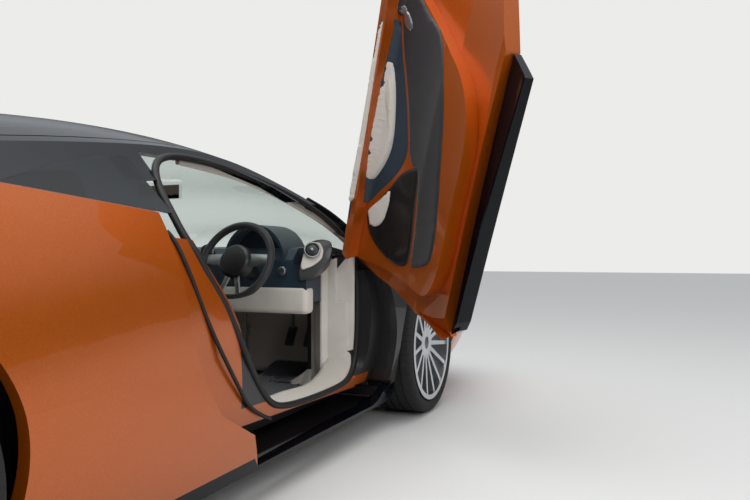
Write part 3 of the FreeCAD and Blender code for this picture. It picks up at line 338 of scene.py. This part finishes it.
def draped_panel(name, outline, under, towards, depth, material, body):
    """A padded panel pressed onto a surface, its edge rounded down to that surface."""
    bm = rounded_sheet(outline, CORNER_ROUNDING, PANEL_CELL)
    edge_points = {v for e in bm.edges if e.is_boundary for v in e.verts}
    normals = {}
    for v in bm.verts:
        v.co, normal = under.find_nearest(v.co)[:2]
        normals[v] = normal if normal.dot(towards) > 0 else towards
    for evening in range(4):
        normals = {v: sum((normals[e.other_vert(v)] for e in v.link_edges), normals[v]).normalized()
                   for v in bm.verts}
    bmesh.ops.smooth_vert(bm, verts=[v for v in bm.verts if v not in edge_points], factor=0.5,
                          use_axis_x=True, use_axis_y=True, use_axis_z=True)
    inner_ring = {w for v in edge_points for e in v.link_edges for w in e.verts} - edge_points
    for v in bm.verts:
        share = 0.25 if v in edge_points else 0.85 if v in inner_ring else 1.0
        v.co += normals[v] * (depth * share)
    rim = bmesh.ops.extrude_edge_only(bm, edges=[e for e in bm.edges if e.is_boundary])["geom"]
    for v in rim:
        if isinstance(v, bmesh.types.BMVert):
            spot, normal = under.find_nearest(v.co)[:2]
            v.co = spot - normal * SUNK_EDGE
    bmesh.ops.smooth_vert(bm, verts=[v for v in bm.verts if v not in edge_points], factor=0.3,
                          use_axis_x=True, use_axis_y=True, use_axis_z=True)
    return piece_of(name, bm, material, body, 70)


# name, hide, thickness in mm and outline on the closed right door's card in mm.
DOOR_TRIM = (
    ("belt_hide", "navy_hide", 1.5, (
        (-236, -716, 758), (-224, -740, 757), (-72, -781, 733), (84, -791, 668), (214, -794, 616),
        (317, -793, 581), (404, -790, 619), (502, -774, 694), (613, -722, 745), (640, -700, 757),
        (560, -694, 772), (300, -694, 776), (20, -694, 776), (-200, -700, 772))),
    ("lower_hide", "charcoal_hide", 6, (
        (-229, -750, 758), (-244, -814, 695), (-189, -827, 625), (-133, -807, 548), (-9, -790, 474),
        (133, -781, 418), (287, -775, 376), (443, -770, 332), (577, -767, 307), (652, -774, 320),
        (711, -795, 424), (707, -797, 440), (527, -785, 445), (339, -787, 494), (344, -793, 562),
        (212, -795, 608), (82, -792, 660), (-73, -783, 726))),
    ("arm_rest_hide", "cream_hide", 17, (
        (-142, -712, 757), (-87, -749, 757), (7, -774, 741), (116, -781, 704), (246, -785, 674),
        (327, -784, 670), (402, -776, 692), (493, -745, 735), (580, -702, 760), (475, -696, 764),
        (381, -696, 764), (269, -696, 764), (135, -696, 764), (-14, -697, 764), (-110, -700, 762))),
    ("pull_slot", "moulding", 16, (
        (311, -773, 707), (354, -773, 703), (419, -768, 719), (476, -747, 736), (513, -722, 745),
        (458, -732, 745), (381, -758, 737))),
    ("arm_pad", "cream_hide", 21, (
        (30, -740, 757), (23, -756, 753), (38, -772, 742), (95, -778, 715), (200, -783, 687),
        (264, -782, 681), (238, -776, 706), (142, -768, 743), (104, -751, 757))),
    ("foot_moulding", "moulding", 8, (
        (336, -788, 504), (355, -792, 544), (393, -793, 599), (456, -788, 635), (534, -776, 686),
        (600, -762, 728), (667, -771, 704), (712, -785, 664), (756, -806, 568), (729, -802, 467),
        (640, -792, 450), (495, -787, 471), (349, -788, 490))),
    ("speaker_hide", "cream_hide", 13, (
        (456, -789, 629), (515, -791, 620), (579, -791, 626), (628, -788, 650), (644, -780, 679),
        (635, -771, 704), (599, -766, 717), (579, -765, 719), (527, -779, 678))),
    ("switch_plate", "satin", 9, (
        (-206, -752, 757), (-215, -768, 755), (-205, -783, 748), (-163, -794, 708), (-133, -797, 689),
        (-115, -793, 701), (-114, -788, 719), (-138, -778, 744))),
)
satin, tree, shader = finish_of("satin_anodised_aluminium", Metallic=1.0, Roughness=0.34)
place = add(tree, "ShaderNodeTexCoord", {}, {})
brushing = add(tree, "ShaderNodeTexNoise", {"Scale": 300.0, "Detail": 2.0}, {"Vector": place.outputs["Object"]})
tone = add(tree, "ShaderNodeMix", {"data_type": "RGBA", 6: linear("#8E9093"), 7: linear("#A6A8AB")},
           {0: brushing.outputs["Fac"]})
tree.links.new(tone.outputs[2], shader.inputs["Base Color"])
trim_finish = {**hides, "moulding": moulding, "satin": satin}
for side, place, flip in (("right", opened, 1), ("left", Matrix.Identity(4), -1)):
    card = surface_of("door_card_" + side)
    towards = place.to_3x3() @ Vector((0, flip, 0.4)).normalized()
    for name, hide, depth, outline in DOOR_TRIM:
        points = [place @ (Vector((x, y * flip, z)) * 0.001) for x, y, z in outline]
        draped_panel("%s_%s" % (name, side), points, card, towards, depth * 0.001, trim_finish[hide],
                     "door_" + side)

# Door aperture seals: a fat hollow rubber tube pushed over the aperture's welded
# flange, and a thinner lip along the painted post. Both run round each doorway.
seal_rubber, tree, shader = finish_of("extruded_black_epdm_rubber", Roughness=0.55)
place = add(tree, "ShaderNodeTexCoord", {}, {})
bloom = add(tree, "ShaderNodeTexNoise", {"Scale": 45.0, "Detail": 4.0}, {"Vector": place.outputs["Object"]})
tone = add(tree, "ShaderNodeMix", {"data_type": "RGBA", 6: linear("#0C0B0B"), 7: linear("#1A1918")},
           {0: bloom.outputs["Fac"]})
tree.links.new(tone.outputs[2], shader.inputs["Base Color"])
matt = add(tree, "ShaderNodeMapRange", {"To Min": 0.48, "To Max": 0.7}, {"Value": bloom.outputs["Fac"]})
tree.links.new(matt.outputs[0], shader.inputs["Roughness"])


def bar_piece(name, run, radius, closed, material, body, flat=0.0):
    """A smooth bar along a run of points in mm, round or flattened upright."""
    curve = bpy.data.curves.new(name, "CURVE")
    curve.dimensions = "3D"
    curve.bevel_depth = radius
    curve.bevel_resolution = 3
    curve.resolution_u = 6
    curve.extrude = flat
    curve.use_fill_caps = True
    curve.twist_mode = "Z_UP"
    spline = curve.splines.new("NURBS")
    spline.points.add(len(run) - 1)
    for point, corner in zip(spline.points, run):
        point.co = (corner[0] * 0.001, corner[1] * 0.001, corner[2] * 0.001, 1)
    spline.use_cyclic_u = closed
    spline.order_u = 3
    spline.use_endpoint_u = not closed
    shaper = bpy.data.objects.new(name + "_line", curve)
    bm = bmesh.new()
    bm.from_mesh(bpy.data.meshes.new_from_object(shaper))
    bpy.data.objects.remove(shaper)
    bmesh.ops.remove_doubles(bm, verts=bm.verts[:], dist=0.00005)
    return piece_of(name, bm, material, body, 50)


DOOR_SEAL = (
    (-342, -802, 806), (-318, -828, 760), (-300, -838, 715), (-228, -849, 625), (-153, -846, 522),
    (-44, -828, 384), (60, -812, 290), (150, -803, 254), (300, -803, 242), (480, -803, 240),
    (640, -800, 244), (745, -785, 262), (800, -780, 330), (808, -784, 450), (812, -786, 600),
    (818, -775, 690), (840, -752, 750), (800, -748, 815), (740, -732, 862), (640, -696, 930),
    (500, -668, 980), (330, -638, 1025), (120, -614, 1056), (-60, -606, 1068), (-200, -622, 1058),
    (-300, -660, 1020), (-330, -700, 950), (-340, -760, 870),
)
POST_LIP = ((-420, -807, 822), (-406, -821, 803), (-385, -853, 715), (-312, -864, 560), (-180, -853, 400),
            (-50, -819, 280), (60, -819, 236))
for side, flip in (("right", 1), ("left", -1)):
    for name, run, radius, closed in (
        ("door_seal", DOOR_SEAL, 0.011, True),
        ("post_lip", POST_LIP, 0.006, False),
    ):
        bar_piece("%s_%s" % (name, side), [(x, y * flip, z) for x, y, z in run], radius, closed, seal_rubber,
                  "body")

# Windscreen pillars: pressed blades that carry the cant rails down to the body, in
# the roof's gloss black outside and with clipped cream trims on the cabin side.
PILLAR_BLADE = ((1010, -740, 786), (980, -732, 804), (830, -702, 886), (740, -684, 926), (660, -668, 954),
                (600, -656, 972))
PILLAR_TRIM = ((970, -690, 800), (830, -668, 880), (580, -622, 970), (340, -584, 1034), (150, -556, 1064),
               (-60, -546, 1072))
for side, flip in (("right", 1), ("left", -1)):
    bar_piece("pillar_blade_" + side, [(x, y * flip, z) for x, y, z in PILLAR_BLADE], 0.010, False,
              roof_black, "body", 0.014)
    bar_piece("pillar_trim_" + side, [(x, y * flip, z) for x, y, z in PILLAR_TRIM], 0.009, False,
              hides["cream_hide"], "body", 0.012)

# Dashboard ends: a black moulded pod with a cream teardrop inlay round an eyeball
# air vent in a bright ring, screwed to each end of the dashboard.
POD_FACING = Vector((-0.85, -0.45, 0.28)).normalized()
POD_OUTLINE = ((619, -607, 655), (627, -602, 688), (664, -608, 794), (688, -628, 820), (713, -667, 830),
               (726, -702, 820), (722, -712, 782), (703, -704, 736), (670, -677, 696), (642, -646, 663))
INLAY_OUTLINE = ((623, -608, 696), (663, -614, 796), (682, -634, 814), (696, -664, 814), (694, -684, 782),
                 (680, -682, 744), (656, -654, 716))
VENT_PLACE = (666, -644, 779)


def plate_piece(name, outline, facing, front, back, material):
    """A plate with rounded corners and a rounded front edge, between two depths."""
    bm = bmesh.new()
    bm.faces.new([bm.verts.new(Vector(point) * 0.001 + facing * front) for point in outline])
    bmesh.ops.bevel(bm, geom=bm.verts[:], offset=30, offset_type="PERCENT", affect="VERTICES", segments=4,
                    profile=0.5, material=-1)
    base = bm.faces[:]
    front_edges = bm.edges[:]
    grown = bmesh.ops.extrude_face_region(bm, geom=base, use_keep_orig=True)["geom"]
    for v in grown:
        if isinstance(v, bmesh.types.BMVert):
            v.co += facing * (back - front)
    bmesh.ops.bevel(bm, geom=front_edges, offset=0.004, offset_type="OFFSET", affect="EDGES", segments=3,
                    profile=0.5, material=-1)
    return piece_of(name, bm, material, "body")


def ring_piece(name, place, facing, radius, thickness, material):
    """A ring whose hole faces along a direction."""
    bm = bmesh.new()
    turn = facing.to_track_quat("Z", "Y").to_matrix().to_4x4()
    bmesh.ops.create_circle(bm, segments=14, radius=thickness,
                            matrix=Matrix.Translation((radius, 0, 0)) @ Matrix.Rotation(math.pi / 2, 4, "X"))
    bmesh.ops.spin(bm, geom=bm.verts[:] + bm.edges[:], cent=(0, 0, 0), axis=(0, 0, 1), angle=math.tau, steps=36,
                   use_merge=True)
    bmesh.ops.transform(bm, matrix=Matrix.Translation(Vector(place) * 0.001) @ turn, verts=bm.verts[:])
    return piece_of(name, bm, material, "body", 60)


def knob_piece(name, place, facing, radius, depth, material):
    """A short round knob or cap with a rounded face."""
    bm = bmesh.new()
    turn = facing.to_track_quat("Z", "Y").to_matrix().to_4x4()
    bmesh.ops.create_cone(bm, cap_ends=True, segments=32, radius1=radius, radius2=radius, depth=depth)
    rim = [e for e in bm.edges if all(v.co.z > 0 for v in e.verts)]
    bmesh.ops.bevel(bm, geom=rim, offset=min(radius, depth) * 0.35, offset_type="OFFSET", affect="EDGES",
                    segments=3, profile=0.5, material=-1)
    bmesh.ops.transform(bm, matrix=Matrix.Translation(Vector(place) * 0.001) @ turn, verts=bm.verts[:])
    return piece_of(name, bm, material, "body")


for side, flip in (("right", 1), ("left", -1)):
    facing = Vector((POD_FACING.x, POD_FACING.y * flip, POD_FACING.z))
    turned = [[(x, y * flip, z) for x, y, z in outline] for outline in (POD_OUTLINE, INLAY_OUTLINE)]
    plate_piece("dash_pod_" + side, turned[0], facing, 0.0, -0.09, moulding)
    plate_piece("dash_inlay_" + side, turned[1], facing, 0.006, -0.004, hides["cream_hide"])
    spot = (VENT_PLACE[0], VENT_PLACE[1] * flip, VENT_PLACE[2])
    knob_piece("vent_ball_" + side, spot, facing, 0.031, 0.03, moulding)
    ring_piece("vent_ring_" + side, Vector(spot) + facing * 15, facing, 0.031, 0.004, satin)
    knob_piece("vent_stud_" + side, Vector(spot) + facing * 18, facing, 0.007, 0.012, satin)
for number, y in enumerate((-27, -121)):
    spot = (664, y, 770)
    facing = Vector((-1, 0, 0.15)).normalized()
    knob_piece("middle_vent_%d" % number, spot, facing, 0.033, 0.02, moulding)
    ring_piece("middle_vent_ring_%d" % number, Vector(spot) + facing * 10, facing, 0.034, 0.0045, satin)
    knob_piece("middle_vent_stud_%d" % number, Vector(spot) + facing * 12, facing, 0.008, 0.012, satin)
knob_piece("lamp_switch", (638, -517, 695), Vector((-1, 0, 0)), 0.019, 0.016, satin)

# Knee bolsters under the dashboard and the covers of the door posts: cream hide
# over foam, with a sewn seam where the bolster meets the post's cover.
BOLSTER_ENDS = (120, 634)
POST_PLAN = ((872, -548), (830, -606), (806, -640), (801, -700), (804, -774))
for side, flip in (("right", -1), ("left", 1)):
    bm = bmesh.new()
    bmesh.ops.create_cube(bm, size=1)
    width = (BOLSTER_ENDS[1] - BOLSTER_ENDS[0]) * 0.001
    middle = flip * (BOLSTER_ENDS[0] + BOLSTER_ENDS[1]) * 0.0005
    bmesh.ops.scale(bm, vec=(0.075, width, 0.116), verts=bm.verts[:])
    bmesh.ops.translate(bm, vec=(0.672, middle, 0.574), verts=bm.verts[:])
    bmesh.ops.bevel(bm, geom=bm.edges[:], offset=0.022, offset_type="OFFSET", affect="EDGES", segments=5,
                    profile=0.5, material=-1)
    piece_of("knee_bolster_" + side, bm, hides["cream_hide"], "body")
    bm = bmesh.new()
    line = [bm.verts.new((x * 0.001, y * flip * -0.001, 0.236)) for x, y in POST_PLAN]
    edges = [bm.edges.new(pair) for pair in zip(line, line[1:])]
    grown = bmesh.ops.extrude_edge_only(bm, edges=edges)["geom"]
    bmesh.ops.translate(bm, vec=(0, 0, 0.52), verts=[v for v in grown if isinstance(v, bmesh.types.BMVert)])
    bmesh.ops.subdivide_edges(bm, edges=bm.edges[:], cuts=6, use_grid_fill=True)
    bmesh.ops.bisect_plane(bm, geom=bm.verts[:] + bm.edges[:] + bm.faces[:], dist=0.00001,
                           plane_co=(0.8, 0.632 * flip, 0.636), plane_no=(0, -0.735 * flip, 0.678),
                           clear_outer=True)
    bmesh.ops.smooth_vert(bm, verts=[v for v in bm.verts if not v.is_boundary], factor=0.5, use_axis_x=True,
                          use_axis_y=True, use_axis_z=False)
    cover = piece_of("post_cover_" + side, bm, hides["cream_hide"], "body", 60)
    wall = cover.modifiers.new("wall", "SOLIDIFY")
    wall.thickness = 0.004
    wall.offset = 0

# Carpets: cut-pile cream carpet on the sills, floors and front bulkhead, and loose
# navy mats of looped pile in each footwell.
piles = {}
for name, dark, light in (("cream_cut_pile", "#B9B2A6", "#DAD5CB"), ("navy_loop_pile", "#10141F", "#20273A")):
    pile, tree, shader = finish_of(name, Roughness=0.9, Sheen_Weight=0.3)
    place = add(tree, "ShaderNodeTexCoord", {}, {})
    # Tufts of 1 mm are drawn 3 mm across so that they show.
    tufts = add(tree, "ShaderNodeTexNoise", {"Scale": 330.0, "Detail": 3.0}, {"Vector": place.outputs["Object"]})
    tone = add(tree, "ShaderNodeMix", {"data_type": "RGBA", 6: linear(dark), 7: linear(light)},
               {0: tufts.outputs["Fac"]})
    tree.links.new(tone.outputs[2], shader.inputs["Base Color"])
    nap = add(tree, "ShaderNodeBump", {"Strength": 0.4, "Distance": 0.002}, {"Height": tufts.outputs["Fac"]})
    tree.links.new(nap.outputs["Normal"], shader.inputs["Normal"])
    piles[name] = pile
SILL_CARPET = ((70, -640), (70, -792), (250, -796), (660, -793), (760, -776), (798, -760), (806, -640))
FLOOR_CARPET = ((-380, -125), (-380, -600), (60, -632), (800, -632), (870, -520), (1140, -495), (1140, -125))
FLOOR_MAT = ((330, -180), (330, -560), (820, -560), (900, -470), (1120, -440), (1120, -180))
WALL_CARPET = ((-3, 170), (-490, 170), (-490, 620), (-3, 620))
# A mat lies flat as far as its bend and then climbs the toe board.
MAT_HEIGHT = 0.178
MAT_BEND = 1.0
MAT_SLOPE = 0.5
ground = surface_of("tub", "sill_right", "sill_left", "kick_panels")


def laid_carpet(name, outline, high, lift, depth, pile):
    """A carpet dropped from a height onto the tub and its sills."""
    bm = rounded_sheet([Vector((x, y, high)) * 0.001 for x, y in outline], 12, 0.03)
    for v in bm.verts:
        spot = ground.ray_cast(v.co, Vector((0, 0, -1)))[0]
        if spot is None:
            spot = ground.find_nearest(v.co)[0]
        v.co = spot + Vector((0, 0, lift))
        if "mat" in name:
            v.co.z = MAT_HEIGHT + max(0.0, v.co.x - MAT_BEND) * MAT_SLOPE
    piece = piece_of(name, bm, pile, "body", 60)
    wall = piece.modifiers.new("wall", "SOLIDIFY")
    wall.thickness = depth
    wall.offset = -1 if piece.data.polygons[0].normal.z > 0 else 1
    return piece


for side, flip in (("right", 1), ("left", -1)):
    for name, outline, high, lift, depth, pile in (
        ("sill_carpet", SILL_CARPET, 520, 0.005, 0.004, "cream_cut_pile"),
        ("floor_carpet", FLOOR_CARPET, 240, 0.005, 0.004, "cream_cut_pile"),
        ("floor_mat", FLOOR_MAT, 240, 0.013, 0.007, "navy_loop_pile"),
    ):
        laid_carpet("%s_%s" % (name, side), [(x, y * flip) for x, y in outline], high, lift, depth,
                    piles[pile])
    bm = rounded_sheet([Vector((1150, y * flip, z)) * 0.001 for y, z in WALL_CARPET], 8, 0.04)
    for v in bm.verts:
        spot = ground.ray_cast(Vector((0.9, v.co.y, v.co.z)), Vector((1, 0, 0)))[0]
        if spot is not None and spot.x < 1.2:
            v.co.x = spot.x - 0.006
    wall = piece_of("bulkhead_carpet_" + side, bm, piles["cream_cut_pile"], "body",
                    60).modifiers.new("wall", "SOLIDIFY")
    wall.thickness = 0.005

# Headliner: moulded felt lined with beige cloth, clipped up under the roof frame.
felt, tree, shader = finish_of("beige_headliner_cloth", Roughness=0.9, Sheen_Weight=0.3)
place = add(tree, "ShaderNodeTexCoord", {}, {})
# The knit's loops of 1 mm are drawn 3 mm across so that they show.
knit = add(tree, "ShaderNodeTexNoise", {"Scale": 330.0, "Detail": 2.0}, {"Vector": place.outputs["Object"]})
tone = add(tree, "ShaderNodeMix", {"data_type": "RGBA", 6: linear("#A89B87"), 7: linear("#C2B6A3")},
           {0: knit.outputs["Fac"]})
tree.links.new(tone.outputs[2], shader.inputs["Base Color"])
# rear end, front end and half width
LINER_REACH = (-0.40, 0.42, 0.50)
HEAD_HEIGHT = 0.95
LINER_GAP = 0.010
roof = surface_of("roof_frame")
bm = bmesh.new()
bmesh.ops.create_grid(bm, x_segments=40, y_segments=48, size=0.5)
bmesh.ops.scale(bm, vec=(LINER_REACH[1] - LINER_REACH[0], 2 * LINER_REACH[2], 1), verts=bm.verts[:])
bmesh.ops.translate(bm, vec=((LINER_REACH[0] + LINER_REACH[1]) / 2, 0, 0), verts=bm.verts[:])
missed = []
for v in bm.verts:
    spot = roof.ray_cast(Vector((v.co.x, v.co.y, HEAD_HEIGHT)), Vector((0, 0, 1)))[0]
    if spot is None:
        missed.append(v)
    else:
        v.co.z = spot.z - LINER_GAP
bmesh.ops.delete(bm, geom=missed, context="VERTS")
liner = piece_of("headliner", bm, felt, "body", 60)
wall = liner.modifiers.new("wall", "SOLIDIFY")
wall.thickness = 0.004

# Seats: stitched cream hide drawn over moulded foam, which is bonded to a shell that
# is bolted to the tub. The hide is sewn along both edges of the middle panels.
SEAT_MIDDLE = 0.37
SEAM_AT = 0.155
SEAM_REACH = 0.007
SEAM_DEPTH = 0.004
# The foam starts this much smaller, because the pressure swells it.
SLIMMED = 0.005
SWELL_LIMIT = 0.009
FOAM_CELL = 0.009
for side, flip in (("right", -1), ("left", 1)):
    bm = bmesh.new()
    bm.from_mesh(nodes["seat_" + side].data)
    bmesh.ops.remove_doubles(bm, verts=bm.verts[:], dist=0.0001)
    bm.normal_update()
    for v in bm.verts:
        v.co -= v.normal * SLIMMED
    cushion = piece_of("seat_cushion_" + side, bm, hides["cream_hide"], "body", 80)
    cells = cushion.modifiers.new("cells", "REMESH")
    cells.mode = "VOXEL"
    cells.voxel_size = FOAM_CELL
    bpy.context.view_layer.update()
    changed = cushion.evaluated_get(bpy.context.evaluated_depsgraph_get())
    cushion.data = bpy.data.meshes.new_from_object(changed)
    cushion.modifiers.clear()
    foam = cushion.modifiers.new("foam", "CLOTH")
    foam.settings.use_pressure = True
    foam.settings.uniform_pressure_force = 4.0
    foam.settings.effector_weights.gravity = 0.0
    for tick in range(1, 21):
        scene.frame_set(tick)
    swollen = cushion.evaluated_get(bpy.context.evaluated_depsgraph_get()).data.vertices
    moves = [after.co - before.co for after, before in zip(swollen, cushion.data.vertices)]
    cushion.modifiers.clear()
    for v, move in zip(cushion.data.vertices, moves):
        if move.length > SWELL_LIMIT:
            move = move * (SWELL_LIMIT / move.length)
        v.co = v.co + move
    scene.frame_set(1)
    finer = cushion.modifiers.new("finer", "SUBSURF")
    finer.levels = 1
    finer.render_levels = 1
    bpy.context.view_layer.update()
    changed = cushion.evaluated_get(bpy.context.evaluated_depsgraph_get())
    cushion.data = bpy.data.meshes.new_from_object(changed)
    cushion.modifiers.clear()
    for v in cushion.data.vertices:
        gap = abs(abs(v.co.y - flip * SEAT_MIDDLE) - SEAM_AT)
        if gap < SEAM_REACH and (v.normal.z > 0.3 or v.normal.x > 0.3):
            v.co = v.co - v.normal * SEAM_DEPTH * (1 - gap / SEAM_REACH)
    cushion.data.polygons.foreach_set("use_smooth", [True] * len(cushion.data.polygons))
    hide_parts("seat_" + side)

# Steering wheel: a hide-bound rim with a flat foot, a round boss and satin
# aluminium spokes, one to each side and a split one below.
WHEEL_MIDDLE = Vector((0.52, -0.37, 0.735))
WHEEL_RAKE = math.radians(22)
RIM_RADIUS = 0.162
RIM_THICKNESS = 0.0155
# Below this height the rim is pressed flat to a share of its depth.
RIM_FLAT = (-0.135, 0.62)
towards_driver = Vector((-math.cos(WHEEL_RAKE), 0, math.sin(WHEEL_RAKE)))
wheel_up = Vector((math.sin(WHEEL_RAKE), 0, math.cos(WHEEL_RAKE)))
wheel_side = Vector((0, 1, 0))
wheel_frame = Matrix((
    (wheel_side.x, wheel_up.x, towards_driver.x, WHEEL_MIDDLE.x),
    (wheel_side.y, wheel_up.y, towards_driver.y, WHEEL_MIDDLE.y),
    (wheel_side.z, wheel_up.z, towards_driver.z, WHEEL_MIDDLE.z),
    (0, 0, 0, 1),
))
bm = bmesh.new()
bmesh.ops.create_circle(bm, segments=20, radius=RIM_THICKNESS,
                        matrix=Matrix.Translation((RIM_RADIUS, 0, 0)) @ Matrix.Rotation(math.pi / 2, 4, "X"))
bmesh.ops.spin(bm, geom=bm.verts[:] + bm.edges[:], cent=(0, 0, 0), axis=(0, 0, 1), angle=math.tau, steps=96,
               use_merge=True)
for v in bm.verts:
    if v.co.y < RIM_FLAT[0]:
        v.co.y = RIM_FLAT[0] + (v.co.y - RIM_FLAT[0]) * RIM_FLAT[1]
bmesh.ops.transform(bm, matrix=wheel_frame, verts=bm.verts[:])
rim = piece_of("steering_rim", bm, hides["charcoal_hide"], "steering_wheel", 60)
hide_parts("steering_wheel")
bm = bmesh.new()
bmesh.ops.create_cone(bm, cap_ends=True, segments=48, radius1=0.076, radius2=0.068, depth=0.044)
crown = [e for e in bm.edges if all(v.co.z > 0 for v in e.verts)]
bmesh.ops.bevel(bm, geom=crown, offset=0.012, offset_type="OFFSET", affect="EDGES", segments=5, profile=0.5,
                material=-1)
bmesh.ops.transform(bm, matrix=wheel_frame @ Matrix.Translation((0, 0, 0.002)), verts=bm.verts[:])
piece_of("steering_boss", bm, moulding, "steering_wheel")
# angle from the first side's spoke, and width in mm at the boss and at the rim
SPOKES = ((4, 60, 38), (176, 60, 38), (-72, 26, 20), (-108, 26, 20))
for number, (angle, root, tip) in enumerate(SPOKES):
    bm = bmesh.new()
    outline = [(0.05, -root / 2000), (0.156, -tip / 2000), (0.156, tip / 2000), (0.05, root / 2000)]
    bm.faces.new([bm.verts.new((x, y, 0.004)) for x, y in outline])
    grown = bmesh.ops.extrude_face_region(bm, geom=bm.faces[:], use_keep_orig=True)["geom"]
    bmesh.ops.translate(bm, vec=(0, 0, -0.009), verts=[v for v in grown if isinstance(v, bmesh.types.BMVert)])
    bmesh.ops.bevel(bm, geom=bm.edges[:], offset=0.003, offset_type="OFFSET", affect="EDGES", segments=3,
                    profile=0.5, material=-1)
    bmesh.ops.transform(bm, matrix=wheel_frame @ Matrix.Rotation(math.radians(angle), 4, "Z"), verts=bm.verts[:])
    piece_of("steering_spoke_%d" % number, bm, satin, "steering_wheel")

# Bright fittings: the silvered mirror glass, glued to the windscreen on its foot, and
# the pressed aluminium pedals, which hang from the bulkhead.
mirror_glass, tree, shader = finish_of("silvered_mirror_glass", Base_Color=linear("#E6EAEC"), Metallic=1.0,
                                       Roughness=0.03)
nodes["inside_mirror"].data.materials.clear()
nodes["inside_mirror"].data.materials.append(mirror_glass)
nodes["pedals"].data.materials.clear()
nodes["pedals"].data.materials.append(satin)

# Tyres: moulded rubber with four rain grooves round the tread, and cross sipes that
# the relief draws 30 mm apart. The side walls carry two plain moulded rims.
tread_rubber, tree, shader = finish_of("moulded_tread_rubber", Roughness=0.8)
pattern = add(tree, "ShaderNodeUVMap", {"uv_map": "tread"}, {})
cross = add(tree, "ShaderNodeTexWave", {"Scale": 10.5, "Distortion": 0.6, "wave_type": "BANDS",
                                         "bands_direction": "X"}, {"Vector": pattern.outputs[0]})
cut = add(tree, "ShaderNodeMapRange", {"From Min": 0.05, "From Max": 0.2}, {"Value": cross.outputs["Fac"]})
sipes = add(tree, "ShaderNodeBump", {"Strength": 0.8, "Distance": 0.003}, {"Height": cut.outputs[0]})
tree.links.new(sipes.outputs["Normal"], shader.inputs["Normal"])
road_dust = add(tree, "ShaderNodeTexNoise", {"Scale": 60.0, "Detail": 5.0}, {"Vector": pattern.outputs[0]})
tone = add(tree, "ShaderNodeMix", {"data_type": "RGBA", 6: linear("#131314"), 7: linear("#232220")},
           {0: road_dust.outputs["Fac"]})
tree.links.new(tone.outputs[2], shader.inputs["Base Color"])
GROOVES = (-0.52, -0.18, 0.18, 0.52)
for end, x, y, outer, half, bead in (("front", 1.3375, 0.8355, 0.3315, 0.117, 0.266),
                                     ("rear", -1.3375, 0.8125, 0.354, 0.152, 0.279)):
    for side, flip in (("right", -1), ("left", 1)):
        profile = [(bead, -0.80), (bead + 0.006, -0.87), (bead + 0.014, -0.93), (bead + 0.018, -0.95),
                   (bead + 0.022, -0.95), ((bead + outer) / 2, -0.995), (outer - 0.024, -0.985),
                   (outer - 0.019, -0.985), (outer - 0.010, -0.935), (outer - 0.003, -0.86)]
        for groove in GROOVES:
            wide = 0.0055 / half
            profile += [(outer - 0.0005, groove - wide), (outer - 0.007, groove - wide * 0.7),
                        (outer - 0.007, groove + wide * 0.7), (outer - 0.0005, groove + wide)]
        profile += [(radius, -across) for radius, across in reversed(profile[:10])]
        bm = bmesh.new()
        middle = Vector((x, y * flip, outer))
        line = [bm.verts.new(middle + Vector((0, across * half, radius))) for radius, across in profile]
        ring = [bm.edges.new(pair) for pair in zip(line, line[1:] + line[:1])]
        bmesh.ops.spin(bm, geom=line + ring, cent=middle, axis=(0, 1, 0), angle=math.tau, steps=120,
                       use_merge=True)
        tread = bm.loops.layers.uv.new("tread")
        for face in bm.faces:
            centre = face.calc_center_median() - middle
            base = math.atan2(centre.x, centre.z)
            for loop in face.loops:
                spot = loop.vert.co - middle
                turn = math.atan2(spot.x, spot.z)
                turn += math.tau * round((base - turn) / math.tau)
                loop[tread].uv = (turn * outer, spot.y)
        tyre = piece_of("tyre_tread_%s_%s" % (end, side), bm, tread_rubber, "wheel_%s_%s" % (end, side),
                        35)
        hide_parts("tyre_%s_%s" % (end, side))
